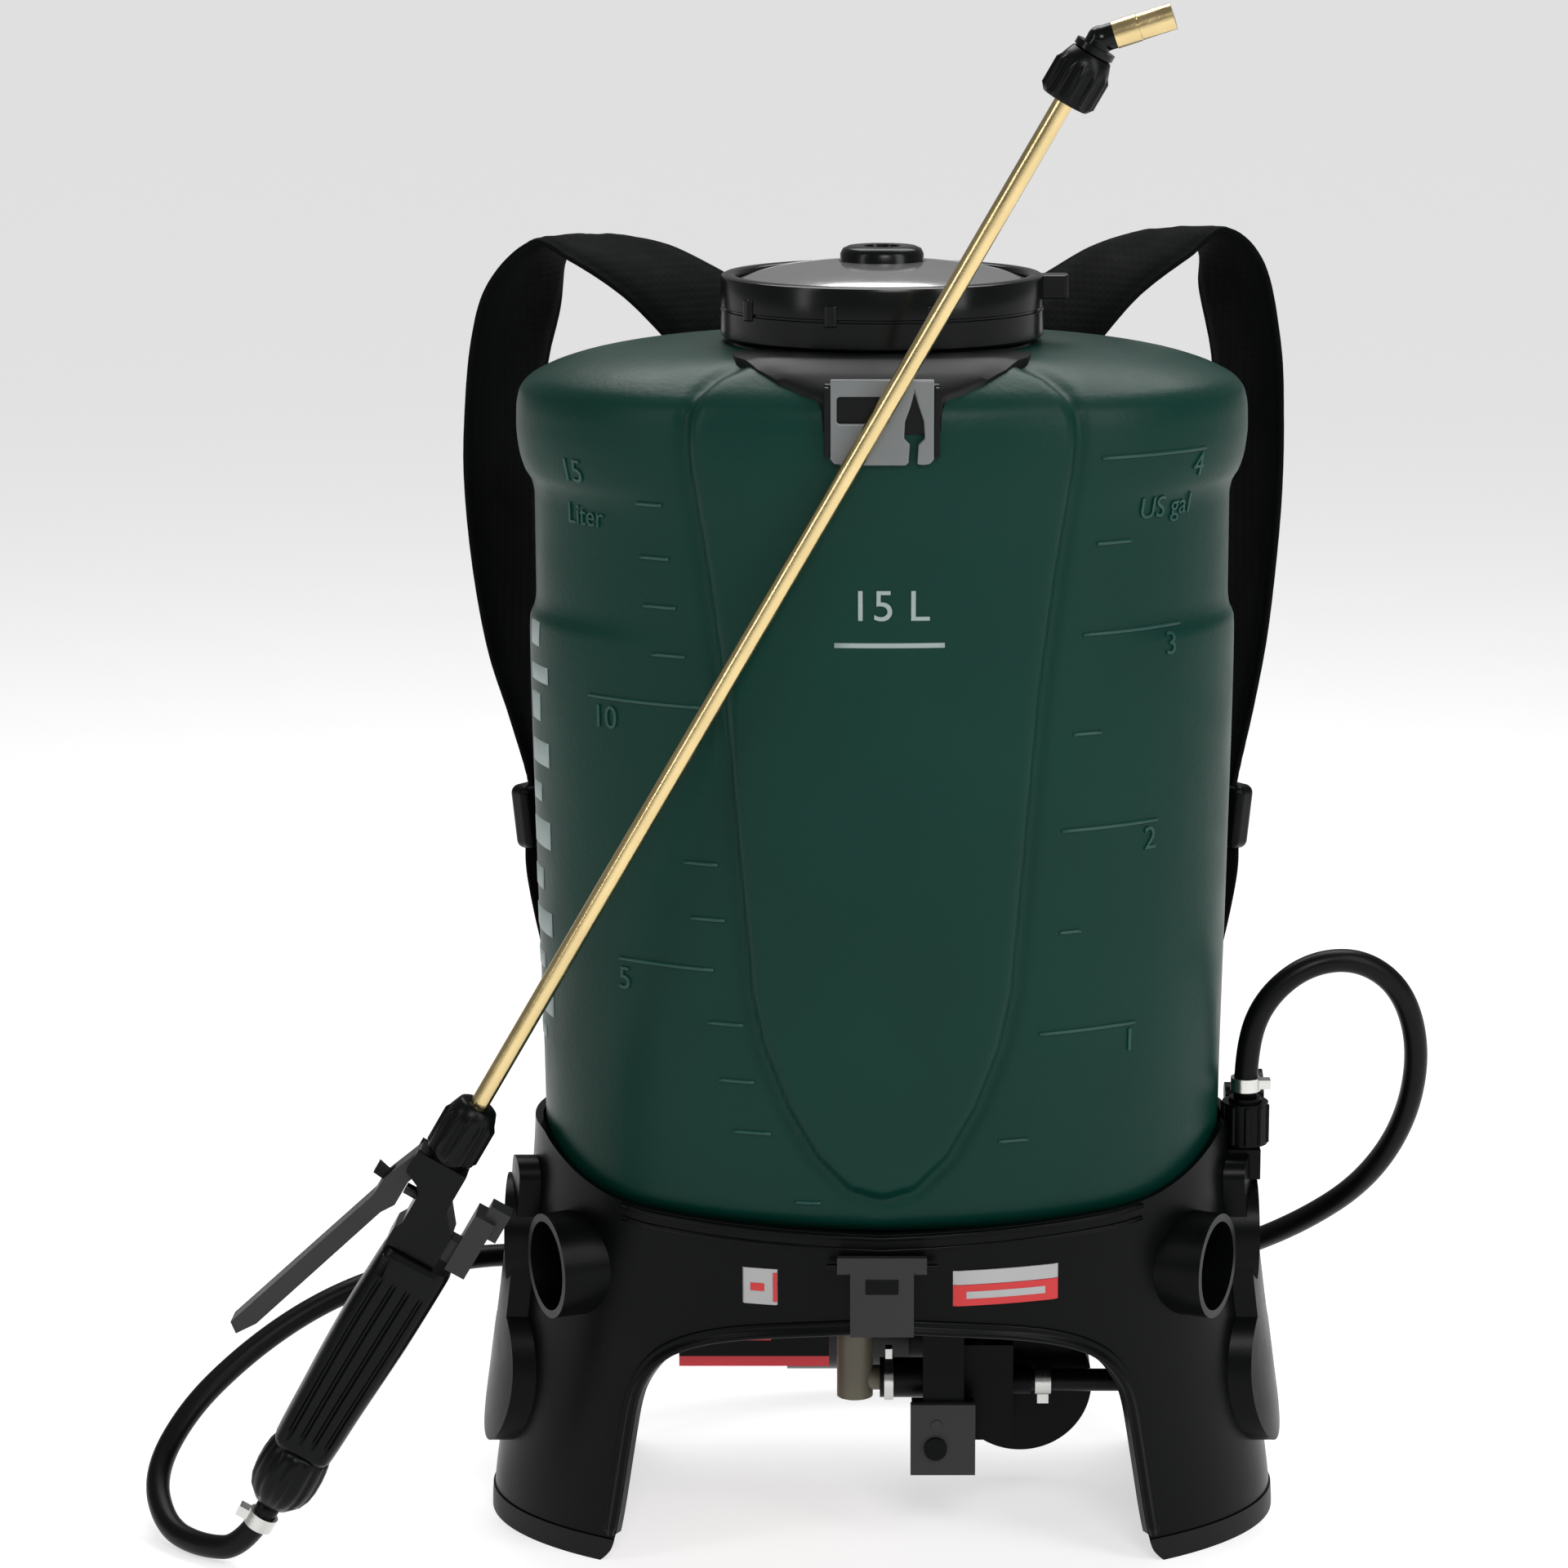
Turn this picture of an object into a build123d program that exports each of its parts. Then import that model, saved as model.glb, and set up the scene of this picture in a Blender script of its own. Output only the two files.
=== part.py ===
from build123d import *
import os
from math import cos, pi, sin, tan, radians

# Battery backpack sprayer with a 15 litre tank. Millimetres, +Z up. The origin is on the ground,
# under the axis of the filler neck. The tank's bulged front faces -Y and the wearer's back is at +Y.

# ---- driving dimensions ----
TANK_WALL = 3.0
PANEL_PROUD = 4.5            # how far the raised front panel stands off the tank
BACK_Y = 88.0                # the tank's flat back
NECK_OUTER_R = 61.0
NECK_INNER_R = 57.0
NECK_TOP_Z = 548.0
RING_R = 69.5                # screw ring of the lid
RING_Z = (530.0, 556.6)

FOOT_H = 12.0                # height of the rubber feet
BASE_WALL = 3.5
BASE_BACK_Y = 98.0
RIM_Z = 162.0                # top edge of the base's front wall
DECK_Z = (149.0, 153.0)      # plate that carries the tank
LATCH_Z = 147.0              # height of the latch's hinge pin

SOCKET_R = 22.9              # round side sockets of the base
SOCKET_BORE_R = 19.5
SOCKET_DEPTH = 24.0
SOCKET_LIP = 8.0             # how far a socket's mouth stands out of the base
SOCKET_FLOOR = 3.0
SOCKET_CENTRE = (139.0, -58.0, 130.5)
SOCKET_TURN = 25.0           # degrees that a socket's mouth turns from sideways towards the front

HOSE_R = 5.25
LANCE_R = 4.0
LANCE_BORE_R = 2.9
LANCE_LENGTH = 502.0         # visible brass tube between its two nuts
RUN = 0.05                   # radial clearance of a running fit
GAP = 0.3                    # air between curved parts that pass each other

GUN_NUT = Vector(-170.5, -100.0, 214.7)
LANCE_DIR = Vector(0.4978, -0.0655, 0.8648).normalized()
GUN_SIDE = Vector(-LANCE_DIR.Z, 0, LANCE_DIR.X).normalized()
# Gun frame: z runs up the lance from the gun nut's top face, x points to the trigger, y to the front.
GUN = Plane(origin=GUN_NUT, x_dir=GUN_SIDE, z_dir=LANCE_DIR)
GRIP_X = -9.0                # the grip's axis runs beside the lance's
GRIP_BOTTOM = -176.0
HOSE_ON_GUN = -206.5         # the hose's last end, pushed onto the gun's barb
NOZZLE_DIR = Vector(0.945, -0.09, 0.31).normalized()
KNEE = LANCE_LENGTH + 14.0   # where the nozzle elbow bends, in the gun frame

OUTLET_X = -12.0             # the tank's outlet, through its bottom
OUTLET_Y = -40.0
OUTLET_R = 8.0
OUTLET_PIPE = (161.5, -8.0)  # the hose's outlet on the right side
HOSE_START_Z = 192.0
LATCH_Y = -114.0
BOLT_PLACES = [(x, y) for x in (44.0, 84.0) for y in (-24.0, 56.0)]
BOLT_HOLE_R = 2.1

# Oval sections: height, half-width, half-depth.
TANK_SECTIONS = [
    (154.0, 130.0, 86.0),
    (156.0, 139.0, 94.5),
    (160.0, 146.0, 100.5),
    (167.0, 149.5, 103.5),
    (206.0, 150.0, 104.0),
    (409.0, 153.5, 106.0),
    (417.0, 150.5, 103.5),
    (466.0, 150.5, 103.5),
    (474.0, 155.0, 107.0),
    (482.0, 157.0, 108.3),
    (498.0, 158.0, 109.0),
    (507.0, 156.5, 107.8),
    (512.0, 153.0, 104.5),
    (517.0, 144.5, 98.0),
    (521.0, 133.5, 91.0),
    (524.0, 121.0, 84.5),
    (526.3, 104.0, 77.5),
    (527.6, 76.0, 70.0),
]
BASE_SECTIONS = [
    (0.0, 176.0, 104.0),
    (52.0, 170.0, 105.0),
    (103.0, 163.0, 107.0),
    (150.0, 157.0, 109.0),
    (190.0, 154.5, 109.5),
]

os.makedirs("parts", exist_ok=True)


def save(name, shape):
    export_step(shape, f"parts/{name}.step")


def block(x, y, z):
    """A box from its lowest and highest x, y and z."""
    centre = (sum(x) / 2, sum(y) / 2, sum(z) / 2)
    return Pos(*centre) * Box(x[1] - x[0], y[1] - y[0], z[1] - z[0])


def rod(start, end, r, bore=0):
    """A round bar between two points, or a tube where it has a bore."""
    way = Vector(*end) - Vector(*start)
    plane = Plane(origin=start, z_dir=way)
    ring = Circle(r) - Circle(bore) if bore else Circle(r)
    return plane * extrude(ring, way.length)


def turned(points, bore=0):
    """A body turned about Z from (radius, height) corners."""
    body = revolve(Plane.XZ * make_face(Polyline(*points, close=True)), Axis.Z)
    return body - Cylinder(bore, 4000) if bore else body


def oval_loft(sections, grow, back):
    faces = [Pos(0, 0, z) * Ellipse(a + grow, b + grow) for z, a, b in sections]
    body = loft(faces, ruled=True)
    return body - block((-400, 400), (back, 400), (-10, 700))


def mirrored(shape):
    return mirror(shape, about=Plane.YZ)


def front_prism(points, y):
    """A prism along Y from (x, z) corners."""
    outline = make_face(Polyline(*points, close=True))
    depth = y[1] - y[0]
    plane = Plane(origin=(0, y[1], 0), x_dir=(1, 0, 0), z_dir=(0, -1, 0))
    return plane * extrude(outline, depth)


def side_prism(outline, x):
    """A prism along X from a face drawn in (y, z)."""
    plane = Plane(origin=(x[0], 0, 0), x_dir=(0, 1, 0), z_dir=(1, 0, 0))
    return plane * extrude(outline, x[1] - x[0])


def tank_form(grow):
    """The tank's outer form, grown sideways, and upwards over its shoulder."""
    shoulder_z = 500.0
    top_z = TANK_SECTIONS[-1][0]
    sections = []
    for z, half_width, half_depth in TANK_SECTIONS:
        lift = grow * max(0, (z - shoulder_z) / (top_z - shoulder_z))
        sections.append((z + lift, half_width, half_depth))
    return oval_loft(sections, grow, BACK_Y + grow)


def base_form(grow):
    return oval_loft(BASE_SECTIONS, grow, BASE_BACK_Y + grow)


# ---- tank ----
PANEL_OUTLINE = [
    (0, 174), (14, 178), (28, 192), (40, 213), (50, 239), (55, 262), (60, 320), (66, 393), (72, 440),
    (79, 484), (74, 497), (60, 503),
]


def panel_form(grow):
    points = PANEL_OUTLINE + [(-x, z) for x, z in reversed(PANEL_OUTLINE) if x]
    return tank_form(PANEL_PROUD + grow) & front_prism(points, (-140, -40))


def make_tank():
    outer = tank_form(0)
    panel = panel_form(0)
    neck = Pos(0, 0, (515 + NECK_TOP_Z) / 2) * Cylinder(NECK_OUTER_R, NECK_TOP_Z - 515)
    inner_sections = []
    for z, a, b in TANK_SECTIONS:
        step = TANK_WALL if z < 180 else -TANK_WALL if z > 500 else 0
        inner_sections.append((z + step, a - TANK_WALL, b - TANK_WALL))
    inner = oval_loft(inner_sections, 0, BACK_Y - TANK_WALL)
    body = outer + panel + neck - inner - Pos(0, 0, 530) * Cylinder(NECK_INNER_R, 60)
    return body - Pos(OUTLET_X, OUTLET_Y, 155) * Cylinder(OUTLET_R + RUN, 20)


save("tank", make_tank())

# ---- neck collar, with the apron and the tongue that holds the lance ----
COLLAR_R = 65.5
TONGUE_HALF = 25.0
TONGUE_Z = (489.0, 524.0)
TONGUE_Y = (-116.4, -113.0)
COLLAR_TOP_Z = 529.5
APRON_PLAN = [               # half-width of the apron and where, from the neck to the tongue
    (62, -24), (62, -60), (60.7, -68), (56.5, -78), (51.3, -88), (42, -98), (33, -104), (27.3, -106.5),
    (TONGUE_HALF, -109), (TONGUE_HALF, -114.2),
]


def make_collar():
    ring = Pos(0, 0, COLLAR_TOP_Z - 2.8) * Cylinder(COLLAR_R, 5.6)
    corners = APRON_PLAN + [(-x, y) for x, y in reversed(APRON_PLAN)]
    plan = make_face(Polyline(*corners, close=True))
    column = Pos(0, 0, 500) * extrude(plan, COLLAR_TOP_Z - 500)
    apron = ring + (tank_form(5.5) & column) - tank_form(0.15)
    apron = apron - Pos(0, 0, 520) * Cylinder(NECK_OUTER_R + 0.15, 80)
    plate = block((-TONGUE_HALF, TONGUE_HALF), TONGUE_Y, TONGUE_Z)
    window = block((-19, 3), (-130, -110), (506.5, 517.5))
    slot = block((9, 18), (-130, -110), (498, 516)) + block((11.5, 15.5), (-130, -110), (480, 523))
    return apron + plate - window - slot - panel_form(0.2)


save("neck_collar", make_collar())

# ---- lid ----
DOME_R = 64.0
VENT_STEM_R = 4.0
RING_CORNERS = [
    (62.4, RING_Z[1]), (62.4, 554.4), (64.4, 554.4), (64.4, 549.0), (61.5, 549.0),
    (61.5, RING_Z[0]), (RING_R, RING_Z[0]), (RING_R, RING_Z[1]),
]
save("lid_ring", turned(RING_CORNERS) + block((RING_R - 1, 80), (-7, 7), (546, 556)))
DOME_CORNERS = [
    (0, 553.2), (40, 550.8), (57, 550.5), (DOME_R, 550.5), (DOME_R, 553.4), (62, 553.8),
    (55, 556.5), (34, 560.4), (18.5, 562.0), (18.5, 558.0), (0, 558.0),
]
save("lid_dome", turned(DOME_CORNERS, bore=VENT_STEM_R))
save("lid_gasket", turned([(57.4, 548.0), (60.8, 548.0), (60.8, 550.5), (57.4, 550.5)]))
VENT_CORNERS = [
    (0, 545.0), (VENT_STEM_R - RUN, 545.0), (VENT_STEM_R - RUN, 558.2), (18.0, 558.2), (18.0, 568.0),
    (16.5, 570.0), (8.0, 570.0), (7.0, 567.0), (0, 567.0),
]
save("vent_knob", turned(VENT_CORNERS))

# ---- filler strainer ----
STRAINER_R = 55.0
STRAINER_BOTTOM = 440.0
STRAINER_CORNERS = [
    (0, STRAINER_BOTTOM), (44, STRAINER_BOTTOM), (STRAINER_R, 530), (STRAINER_R, 543), (56.8, 543),
    (56.8, 547.8), (53, 547.8), (53, 530), (42.4, STRAINER_BOTTOM + 2), (0, STRAINER_BOTTOM + 2),
]
save("filler_strainer", turned(STRAINER_CORNERS))

# ---- base shell, feet, side sockets and brackets ----
ARCH_HALF = (116.0, 105.0)   # half-width at the floor and where the corner starts
ARCH_SIDE_Z = 66.0
ARCH_TOP_Z = (103.0, 110.0)  # at the corner and in the middle


def arch(y):
    half = [(ARCH_HALF[0], -1), (ARCH_HALF[1], ARCH_SIDE_Z), (102.5, 80), (98, 90), (90, 98), (79, 103.5),
            (50, 107), (0, ARCH_TOP_Z[1])]
    return front_prism(half + [(-x, z) for x, z in reversed(half) if x], y)


def socket_plane(side):
    x, y, z = SOCKET_CENTRE
    turn = radians(SOCKET_TURN)
    return Plane(origin=(side * x, y, z), x_dir=(0, 0, 1), z_dir=(side * cos(turn), -sin(turn), 0))


def make_base():
    shell = base_form(0) - base_form(-BASE_WALL)
    deck = base_form(-1) & block((-200, 200), (-200, 200), DECK_Z)
    shell = shell + deck
    shell = shell - arch((-140, -50)) - arch((55, 140)) - block((-200, 200), (-200, 200), (-1, FOOT_H))
    above = [
        (-200, 176), (-150, 186), (-128, 183), (-121, RIM_Z), (121, RIM_Z), (128, 183), (150, 186),
        (200, 176), (200, 260), (-200, 260),
    ]
    shell = shell - front_prism(above, (-140, 140)) - block((-200, 200), (52, 140), (RIM_Z, 260))
    shell = shell - block((-200, 200), (-140, -62), (RIM_Z, 260))
    for side in (-1, 1):
        shell = shell - socket_plane(side) * Pos(0, 0, SOCKET_LIP - 20) * Cylinder(SOCKET_R + 0.05, 40)
        ear = block((20, 23.6), (-118, -106), (LATCH_Z - 4, LATCH_Z + 4))
        ear = ear if side > 0 else mirrored(ear)
        shell = shell + (ear - base_form(-BASE_WALL))
    shell = shell - rod((-30, LATCH_Y, LATCH_Z), (30, LATCH_Y, LATCH_Z), 1.5)
    shell = shell - Pos(OUTLET_X, OUTLET_Y, 151) * Cylinder(OUTLET_R + RUN, 20)
    shell = shell - Pos(OUTLET_PIPE[0], OUTLET_PIPE[1], 190) * Cylinder(11.8, 41)
    for x, y in BOLT_PLACES:
        shell = shell - Pos(x, y, 151) * Cylinder(BOLT_HOLE_R, 20)
    return shell


save("base_shell", make_base())

foot_band = base_form(1.5) - base_form(-BASE_WALL - 2)
foot_band = foot_band & block((-200, 200), (-200, 200), (0, FOOT_H))
foot_band = foot_band - arch((-140, -50)) - arch((55, 140))
save("feet", foot_band)

socket_mid = SOCKET_LIP - SOCKET_DEPTH / 2
socket = Pos(0, 0, socket_mid) * Cylinder(SOCKET_R, SOCKET_DEPTH)
socket = socket - Pos(0, 0, socket_mid + SOCKET_FLOOR) * Cylinder(SOCKET_BORE_R, SOCKET_DEPTH)
save("side_sockets", Compound([socket_plane(1) * socket, socket_plane(-1) * socket]))


def make_bracket():
    strip = Pos(-20, 119) * RectangleRounded(20, 98, 9)
    lobe = Pos(-22, 68) * Ellipse(21, 31)
    pod = (base_form(9) - base_form(0.05)) & side_prism(strip + lobe, (120, 200))
    cap = rod((150, -8, 131), (167, -8, 131), 25) - base_form(0.05)
    return pod + cap - socket_plane(1) * Pos(0, 0, 10) * Cylinder(SOCKET_R + 0.1, 60)


bracket = make_bracket()
save("side_brackets", Compound([bracket, mirrored(bracket)]))

# ---- front latch and the two plain plates ----
LATCH_PIN_R = 1.5


def latch_rod(half, r):
    return rod((-half, LATCH_Y, LATCH_Z), (half, LATCH_Y, LATCH_Z), r)


save("latch_pin", latch_rod(23.5, LATCH_PIN_R))
latch = latch_rod(19, 3.4)
latch = latch + block((-19, 19), (-117.4, -114), (LATCH_Z, 152))
latch = latch + block((-13.5, 13.5), (-117.4, -114.4), (117, LATCH_Z))
save("front_latch", latch - latch_rod(30, LATCH_PIN_R + RUN))
skin = base_form(0.7) - base_form(0.02)
plates = [skin & block(x, (-130, -80), (127, 143)) for x in ((-60, -44), (28.5, 77))]
save("blank_plates", Compound(plates))

# ---- battery, which drops out under the deck ----
BATTERY_X = (-88.0, -23.0)
BATTERY_Y = (-78.0, -14.0)
BATTERY_Z = (90.5, 138.0)
dock = block((-91, -20.3), (-79, -11), (132, DECK_Z[0]))
save("battery_dock", dock - block((-88.4, -22.6), (-90, -13.6), (120, 138.4)))
pack = block(BATTERY_X, BATTERY_Y, (95, BATTERY_Z[1]))
pack = pack - block((-62.3, -47.7), (-90, -72), (102.7, 113.3))
save("battery_pack", pack)
save("battery_cover", block(BATTERY_X, BATTERY_Y, (BATTERY_Z[0], 95)))
save("battery_button", block((-62, -48), (-80.5, -75), (103, 113)))

# ---- pump set under the deck ----
MOTOR_Y = 15.0
MOTOR_Z = 80.0
CASE_X = 62.0
CASE_Z = 62.0
SHAFT_R = 4.0
DELIVERY = (-32.0, 68.0)     # y and z of the pump's delivery line
SUCTION_Z = 72.0
BARB_R = 3.6


def motor_rod(start_x, end_x, r, lift=0.0):
    return rod((start_x, MOTOR_Y, MOTOR_Z + lift), (end_x, MOTOR_Y, MOTOR_Z + lift), r)


def case_rod(start_y, end_y, r):
    return rod((CASE_X, start_y, CASE_Z), (CASE_X, end_y, CASE_Z), r)


def delivery_rod(start_x, end_x, r, bore=0):
    return rod((start_x, *DELIVERY), (end_x, *DELIVERY), r, bore)


def suction_rod(start_x, end_x, r, bore=0):
    return rod((start_x, OUTLET_Y, SUCTION_Z), (end_x, OUTLET_Y, SUCTION_Z), r, bore)


motor = motor_rod(-43, 12, 22) - motor_rod(-38, 13, 5)
save("pump_motor", motor + block((-18, 8), (5, 25), (101, DECK_Z[0])))
save("pump_shaft", motor_rod(-37, 72, SHAFT_R) + motor_rod(56, 66, 6.5, lift=1.5))
case = case_rod(-18, 50, 32) + motor_rod(12, 60, 18) + block((36, 92), (-30, 62), (96, 104))
case = case - case_rod(-12, 44, 28) - motor_rod(11, 90, SHAFT_R + RUN)
for x, y in BOLT_PLACES:
    case = case - Pos(x, y, 100) * Cylinder(BOLT_HOLE_R, 20)
save("pump_case", case)
bolts = []
for x, y in BOLT_PLACES:
    bolts.append(Pos(x, y, 124.5) * Cylinder(2, 57) + Pos(x, y, 93) * Cylinder(4, 6))
save("pump_bolts", Compound(bolts))
head = block((30, 58), (-43.5, -18.2), (44, 88)) - case_rod(-19, 50, 32.05)
save("pump_head", head - block((34, 54), (-34, -18), (52, 84)))
save("pump_diaphragm", block((34.3, 53.7), (-22, -19.5), (52.3, 83.7)))
save("pump_outlet_fitting", delivery_rod(58, 66, 6.5) + delivery_rod(66, 77, BARB_R))
pump_hose = delivery_rod(66, 151, 5) - delivery_rod(65, 77.2, BARB_R)
pump_hose = pump_hose - (base_form(1) - base_form(-BASE_WALL - 0.05))
outlet = rod((OUTLET_X, OUTLET_Y, 64), (OUTLET_X, OUTLET_Y, 161), OUTLET_R, 5)
outlet = outlet + rod((OUTLET_X, OUTLET_Y, 64), (OUTLET_X, OUTLET_Y, 66), OUTLET_R)
save("tank_outlet_fitting", outlet + suction_rod(OUTLET_X + 5, 8, 5.5, 3))
suction = suction_rod(-1, 29.9, 8.8) - suction_rod(-2, 8.1, 5.5)
save("pump_hoses", Compound([pump_hose, suction]))
suction_clamp = suction_rod(1, 5, 10, 8.8) + block((1.5, 4.5), (-43, -37), (81.5, 86))
pump_clamp = delivery_rod(68, 75, 6.4, 5) + block((69, 74), (-35, -29), (58, 62.2))
filter_cup = Cylinder(15, 19) - Pos(0, 0, -2) * Cylinder(13.5, 19)
save("suction_filter", Pos(OUTLET_X, OUTLET_Y, 171) * filter_cup)

# ---- control box with its push button and lamp ----
box_body = block((13, 40.5), (-57, -49.5), (34.5, 66)) + block((18, 36), (-57, -50), (66, DECK_Z[0]))
box_body = box_body - block((15, 38.5), (-58, -51), (36.5, 64))
save("control_box", box_body)
BUTTON = (23.5, 46.5)
BUTTON_R = 5.0
LAMP = (24.0, 57.0)
cover = block((12.5, 41), (-61, -57), (34, 66.5))
cover = cover - rod((BUTTON[0], -62, BUTTON[1]), (BUTTON[0], -56, BUTTON[1]), BUTTON_R + RUN)
cover = cover + rod((LAMP[0], -61.6, LAMP[1]), (LAMP[0], -60, LAMP[1]), 2.5)
save("control_cover", cover)
save("power_button", rod((BUTTON[0], -63, BUTTON[1]), (BUTTON[0], -54, BUTTON[1]), BUTTON_R))

# ---- outlet on the right side: pipe, union nut, clamp and pressure knob ----
PIPE_X, PIPE_Y = OUTLET_PIPE


def pipe_rod(start_z, end_z, r, bore=0):
    return rod((PIPE_X, PIPE_Y, start_z), (PIPE_X, PIPE_Y, end_z), r, bore)


save("outlet_pipe", pipe_rod(170, HOSE_START_Z, 7.2) + pipe_rod(HOSE_START_Z, 202, BARB_R))
nut = pipe_rod(171, 190, 10.2, 7.2 + GAP)
for index in range(10):
    rib = Pos(9.9, 0, 0) * Cylinder(1.2, 17)
    nut = nut + Pos(PIPE_X, PIPE_Y, 180.5) * Rot(0, 0, 36 * index + 18) * rib
save("outlet_union_nut", nut)
outlet_clamp = pipe_rod(195, 201, 6.6, HOSE_R)
outlet_clamp = outlet_clamp + block((PIPE_X + 5.6, PIPE_X + 11), (PIPE_Y - 3, PIPE_Y + 3), (196, 200))
save("hose_clamps", Compound([outlet_clamp, suction_clamp, pump_clamp]))
KNOB = (22.0, 184.0)
outlet_block = block((151, 168), (-18, 34), (156.5, 170)) + block((155, 160), (16, 28), (170, 180))
outlet_block = outlet_block + rod((154.6, KNOB[0], KNOB[1]), (160.5, KNOB[0], KNOB[1]), 6)
save("regulator_body", outlet_block - base_form(0.05) - bracket)
save("regulator_knob", rod((160.8, KNOB[0], KNOB[1]), (171.5, KNOB[0], KNOB[1]), 12))

# ---- hose: loop beside the outlet, across the back of the base, and down to the gun ----
HOSE_ROUTE = [
    (161.5, -8, 192), (161.5, -8, 214), (169, -7, 236), (188, -5, 252), (212, -1, 253.5),
    (232, 5, 238), (241, 12, 208), (237, 22, 172), (221, 38, 139), (195, 62, 112), (163, 92, 88),
    (127, 120, 66), (86, 139, 48), (39, 149, 38), (-11, 151, 36), (-60, 145, 43), (-104, 130, 58),
    (-141, 108, 77), (-172, 83, 90), (-204, 60, 93.5), (-236, 44, 89), (-264, 31, 79),
    (-291, 15, 63), (-314, -6, 44), (-326, -31, 23), (-317, -56, 8), (-299, -73, 5.6),
]
ROUTE_END = -232.0           # in the gun frame, where the hose turns into the gun's barb


def corner_radii(points):
    radii = []
    for before, here, after in zip(points, points[1:], points[2:]):
        first = Vector(*here) - Vector(*before)
        second = Vector(*after) - Vector(*here)
        half_turn = radians(first.get_angle(second)) / 2
        radii.append(0.45 * min(first.length, second.length) / tan(half_turn))
    return radii


def tube(points, r):
    radii = corner_radii(points)
    path = FilletPolyline(*points, radius=radii)
    section = Plane(origin=path @ 0, z_dir=path % 0) * Circle(r)
    body = sweep(section, path=path)
    filled = body.volume / (pi * r * r * path.length)
    print("tube length", round(path.length, 1), "volume / section x length", round(filled, 4))
    print("radii", [round(radius) for radius in radii])
    return body


barb_turn = GUN.from_local_coords(Vector(GRIP_X, 0, ROUTE_END))
barb_root = GUN.from_local_coords(Vector(GRIP_X, 0, HOSE_ON_GUN))
split = (Vector(*HOSE_ROUTE[-2]) + Vector(*HOSE_ROUTE[-1])) / 2
main_hose = tube(HOSE_ROUTE[:-1] + [tuple(split)], HOSE_R)
save("hose", main_hose - pipe_rod(HOSE_START_Z - 1, 202.2, BARB_R))
gun_end = tube([tuple(split), HOSE_ROUTE[-1], tuple(barb_turn), tuple(barb_root)], HOSE_R)

# ---- straps, back pad and their hardware ----
STRAP_THICK = 9.0
STRAP_SECTIONS = [           # centre, direction of the width, width
    ((46, 103, 508), (1, 0, 0), 56),
    ((62, 118, 536), (0.9, -0.3, -0.1), 56),
    ((92, 134, 555), (0.6, -0.8, -0.1), 58),
    ((126, 141, 562), (0.3, -0.95, 0), 60),
    ((156, 136, 549), (0.5, -0.85, 0), 60),
    ((168, 130, 520), (0.66, -0.75, 0), 60),
    ((171, 125, 480), (0.7, -0.71, 0), 60),
    ((170, 118, 430), (0.7, -0.71, 0), 58),
    ((165, 108, 380), (0.72, -0.69, 0), 54),
    ((156, 96, 335), (0.75, -0.66, 0), 46),
    ((151, 88, 318), (0.78, -0.62, 0), 34),
]


def ribbon(sections, thick):
    faces = []
    last = len(sections) - 1
    for index, (centre, width_way, width) in enumerate(sections):
        before = Vector(*sections[max(index - 1, 0)][0])
        following = Vector(*sections[min(index + 1, last)][0])
        along = (following - before).normalized()
        across = Vector(*width_way)
        across = (across - along * across.dot(along)).normalized()
        faces.append(Plane(origin=centre, x_dir=across, z_dir=along) * Rectangle(width, thick))
    return loft(faces[::-1], ruled=True)


strap = ribbon(STRAP_SECTIONS, STRAP_THICK)
save("strap_pads", Compound([strap, mirrored(strap)]))
WEBBING_SECTIONS = [
    ((153, 82, 286), (0.8, -0.6, 0), 25),
    ((146, 82, 240), (0.8, -0.6, 0), 25),
    ((136, 84, 206), (0.8, -0.6, 0), 25),
    ((127, 86, 181), (0.8, -0.6, 0), 25),
]
webbing = ribbon(WEBBING_SECTIONS, 2.5)
save("strap_webbing", Compound([webbing, mirrored(webbing)]))
buckle_plane = Plane(origin=(153, 84.5, 302), x_dir=(0.78, -0.62, 0), z_dir=(0.1, 0, 1))
buckle = buckle_plane * fillet(Box(34, 13, 30).edges(), 4)
buckle = buckle - strap - webbing
save("strap_buckles", Compound([buckle, mirrored(buckle)]))
lower = block((112, 140), (78, 96), (163, 179.5)) - webbing - base_form(0.05)
top_anchor = block((-78, 78), (BACK_Y + 0.05, 97.5), (488, 508)) - strap - mirrored(strap)
save("strap_anchors", Compound([lower, mirrored(lower), top_anchor]))
save("back_pad", block((-105, 105), (BACK_Y + 0.3, 101), (250, 450)))

# ---- gun: grip, valve body, trigger, nuts and clip, drawn in the gun frame ----


def gun_prism(points, half_depth, y=0.0):
    outline = make_face(Polyline(*points, close=True))
    plane = Plane(origin=(0, y + half_depth, 0), x_dir=(1, 0, 0), z_dir=(0, -1, 0))
    return plane * extrude(outline, 2 * half_depth)


def gun_rod(start_z, end_z, r, bore=0, x=0.0):
    return rod((x, 0, start_z), (x, 0, end_z), r, bore)


def cross_rod(centre, half, r):
    """A round bar along the gun's y axis about an (x, z) point."""
    return rod((centre[0], -half, centre[1]), (centre[0], half, centre[1]), r)


def valve_rod(start_x, end_x, r, bore=0):
    return rod((start_x, 0, PIN_Z), (end_x, 0, PIN_Z), r, bore)


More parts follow.
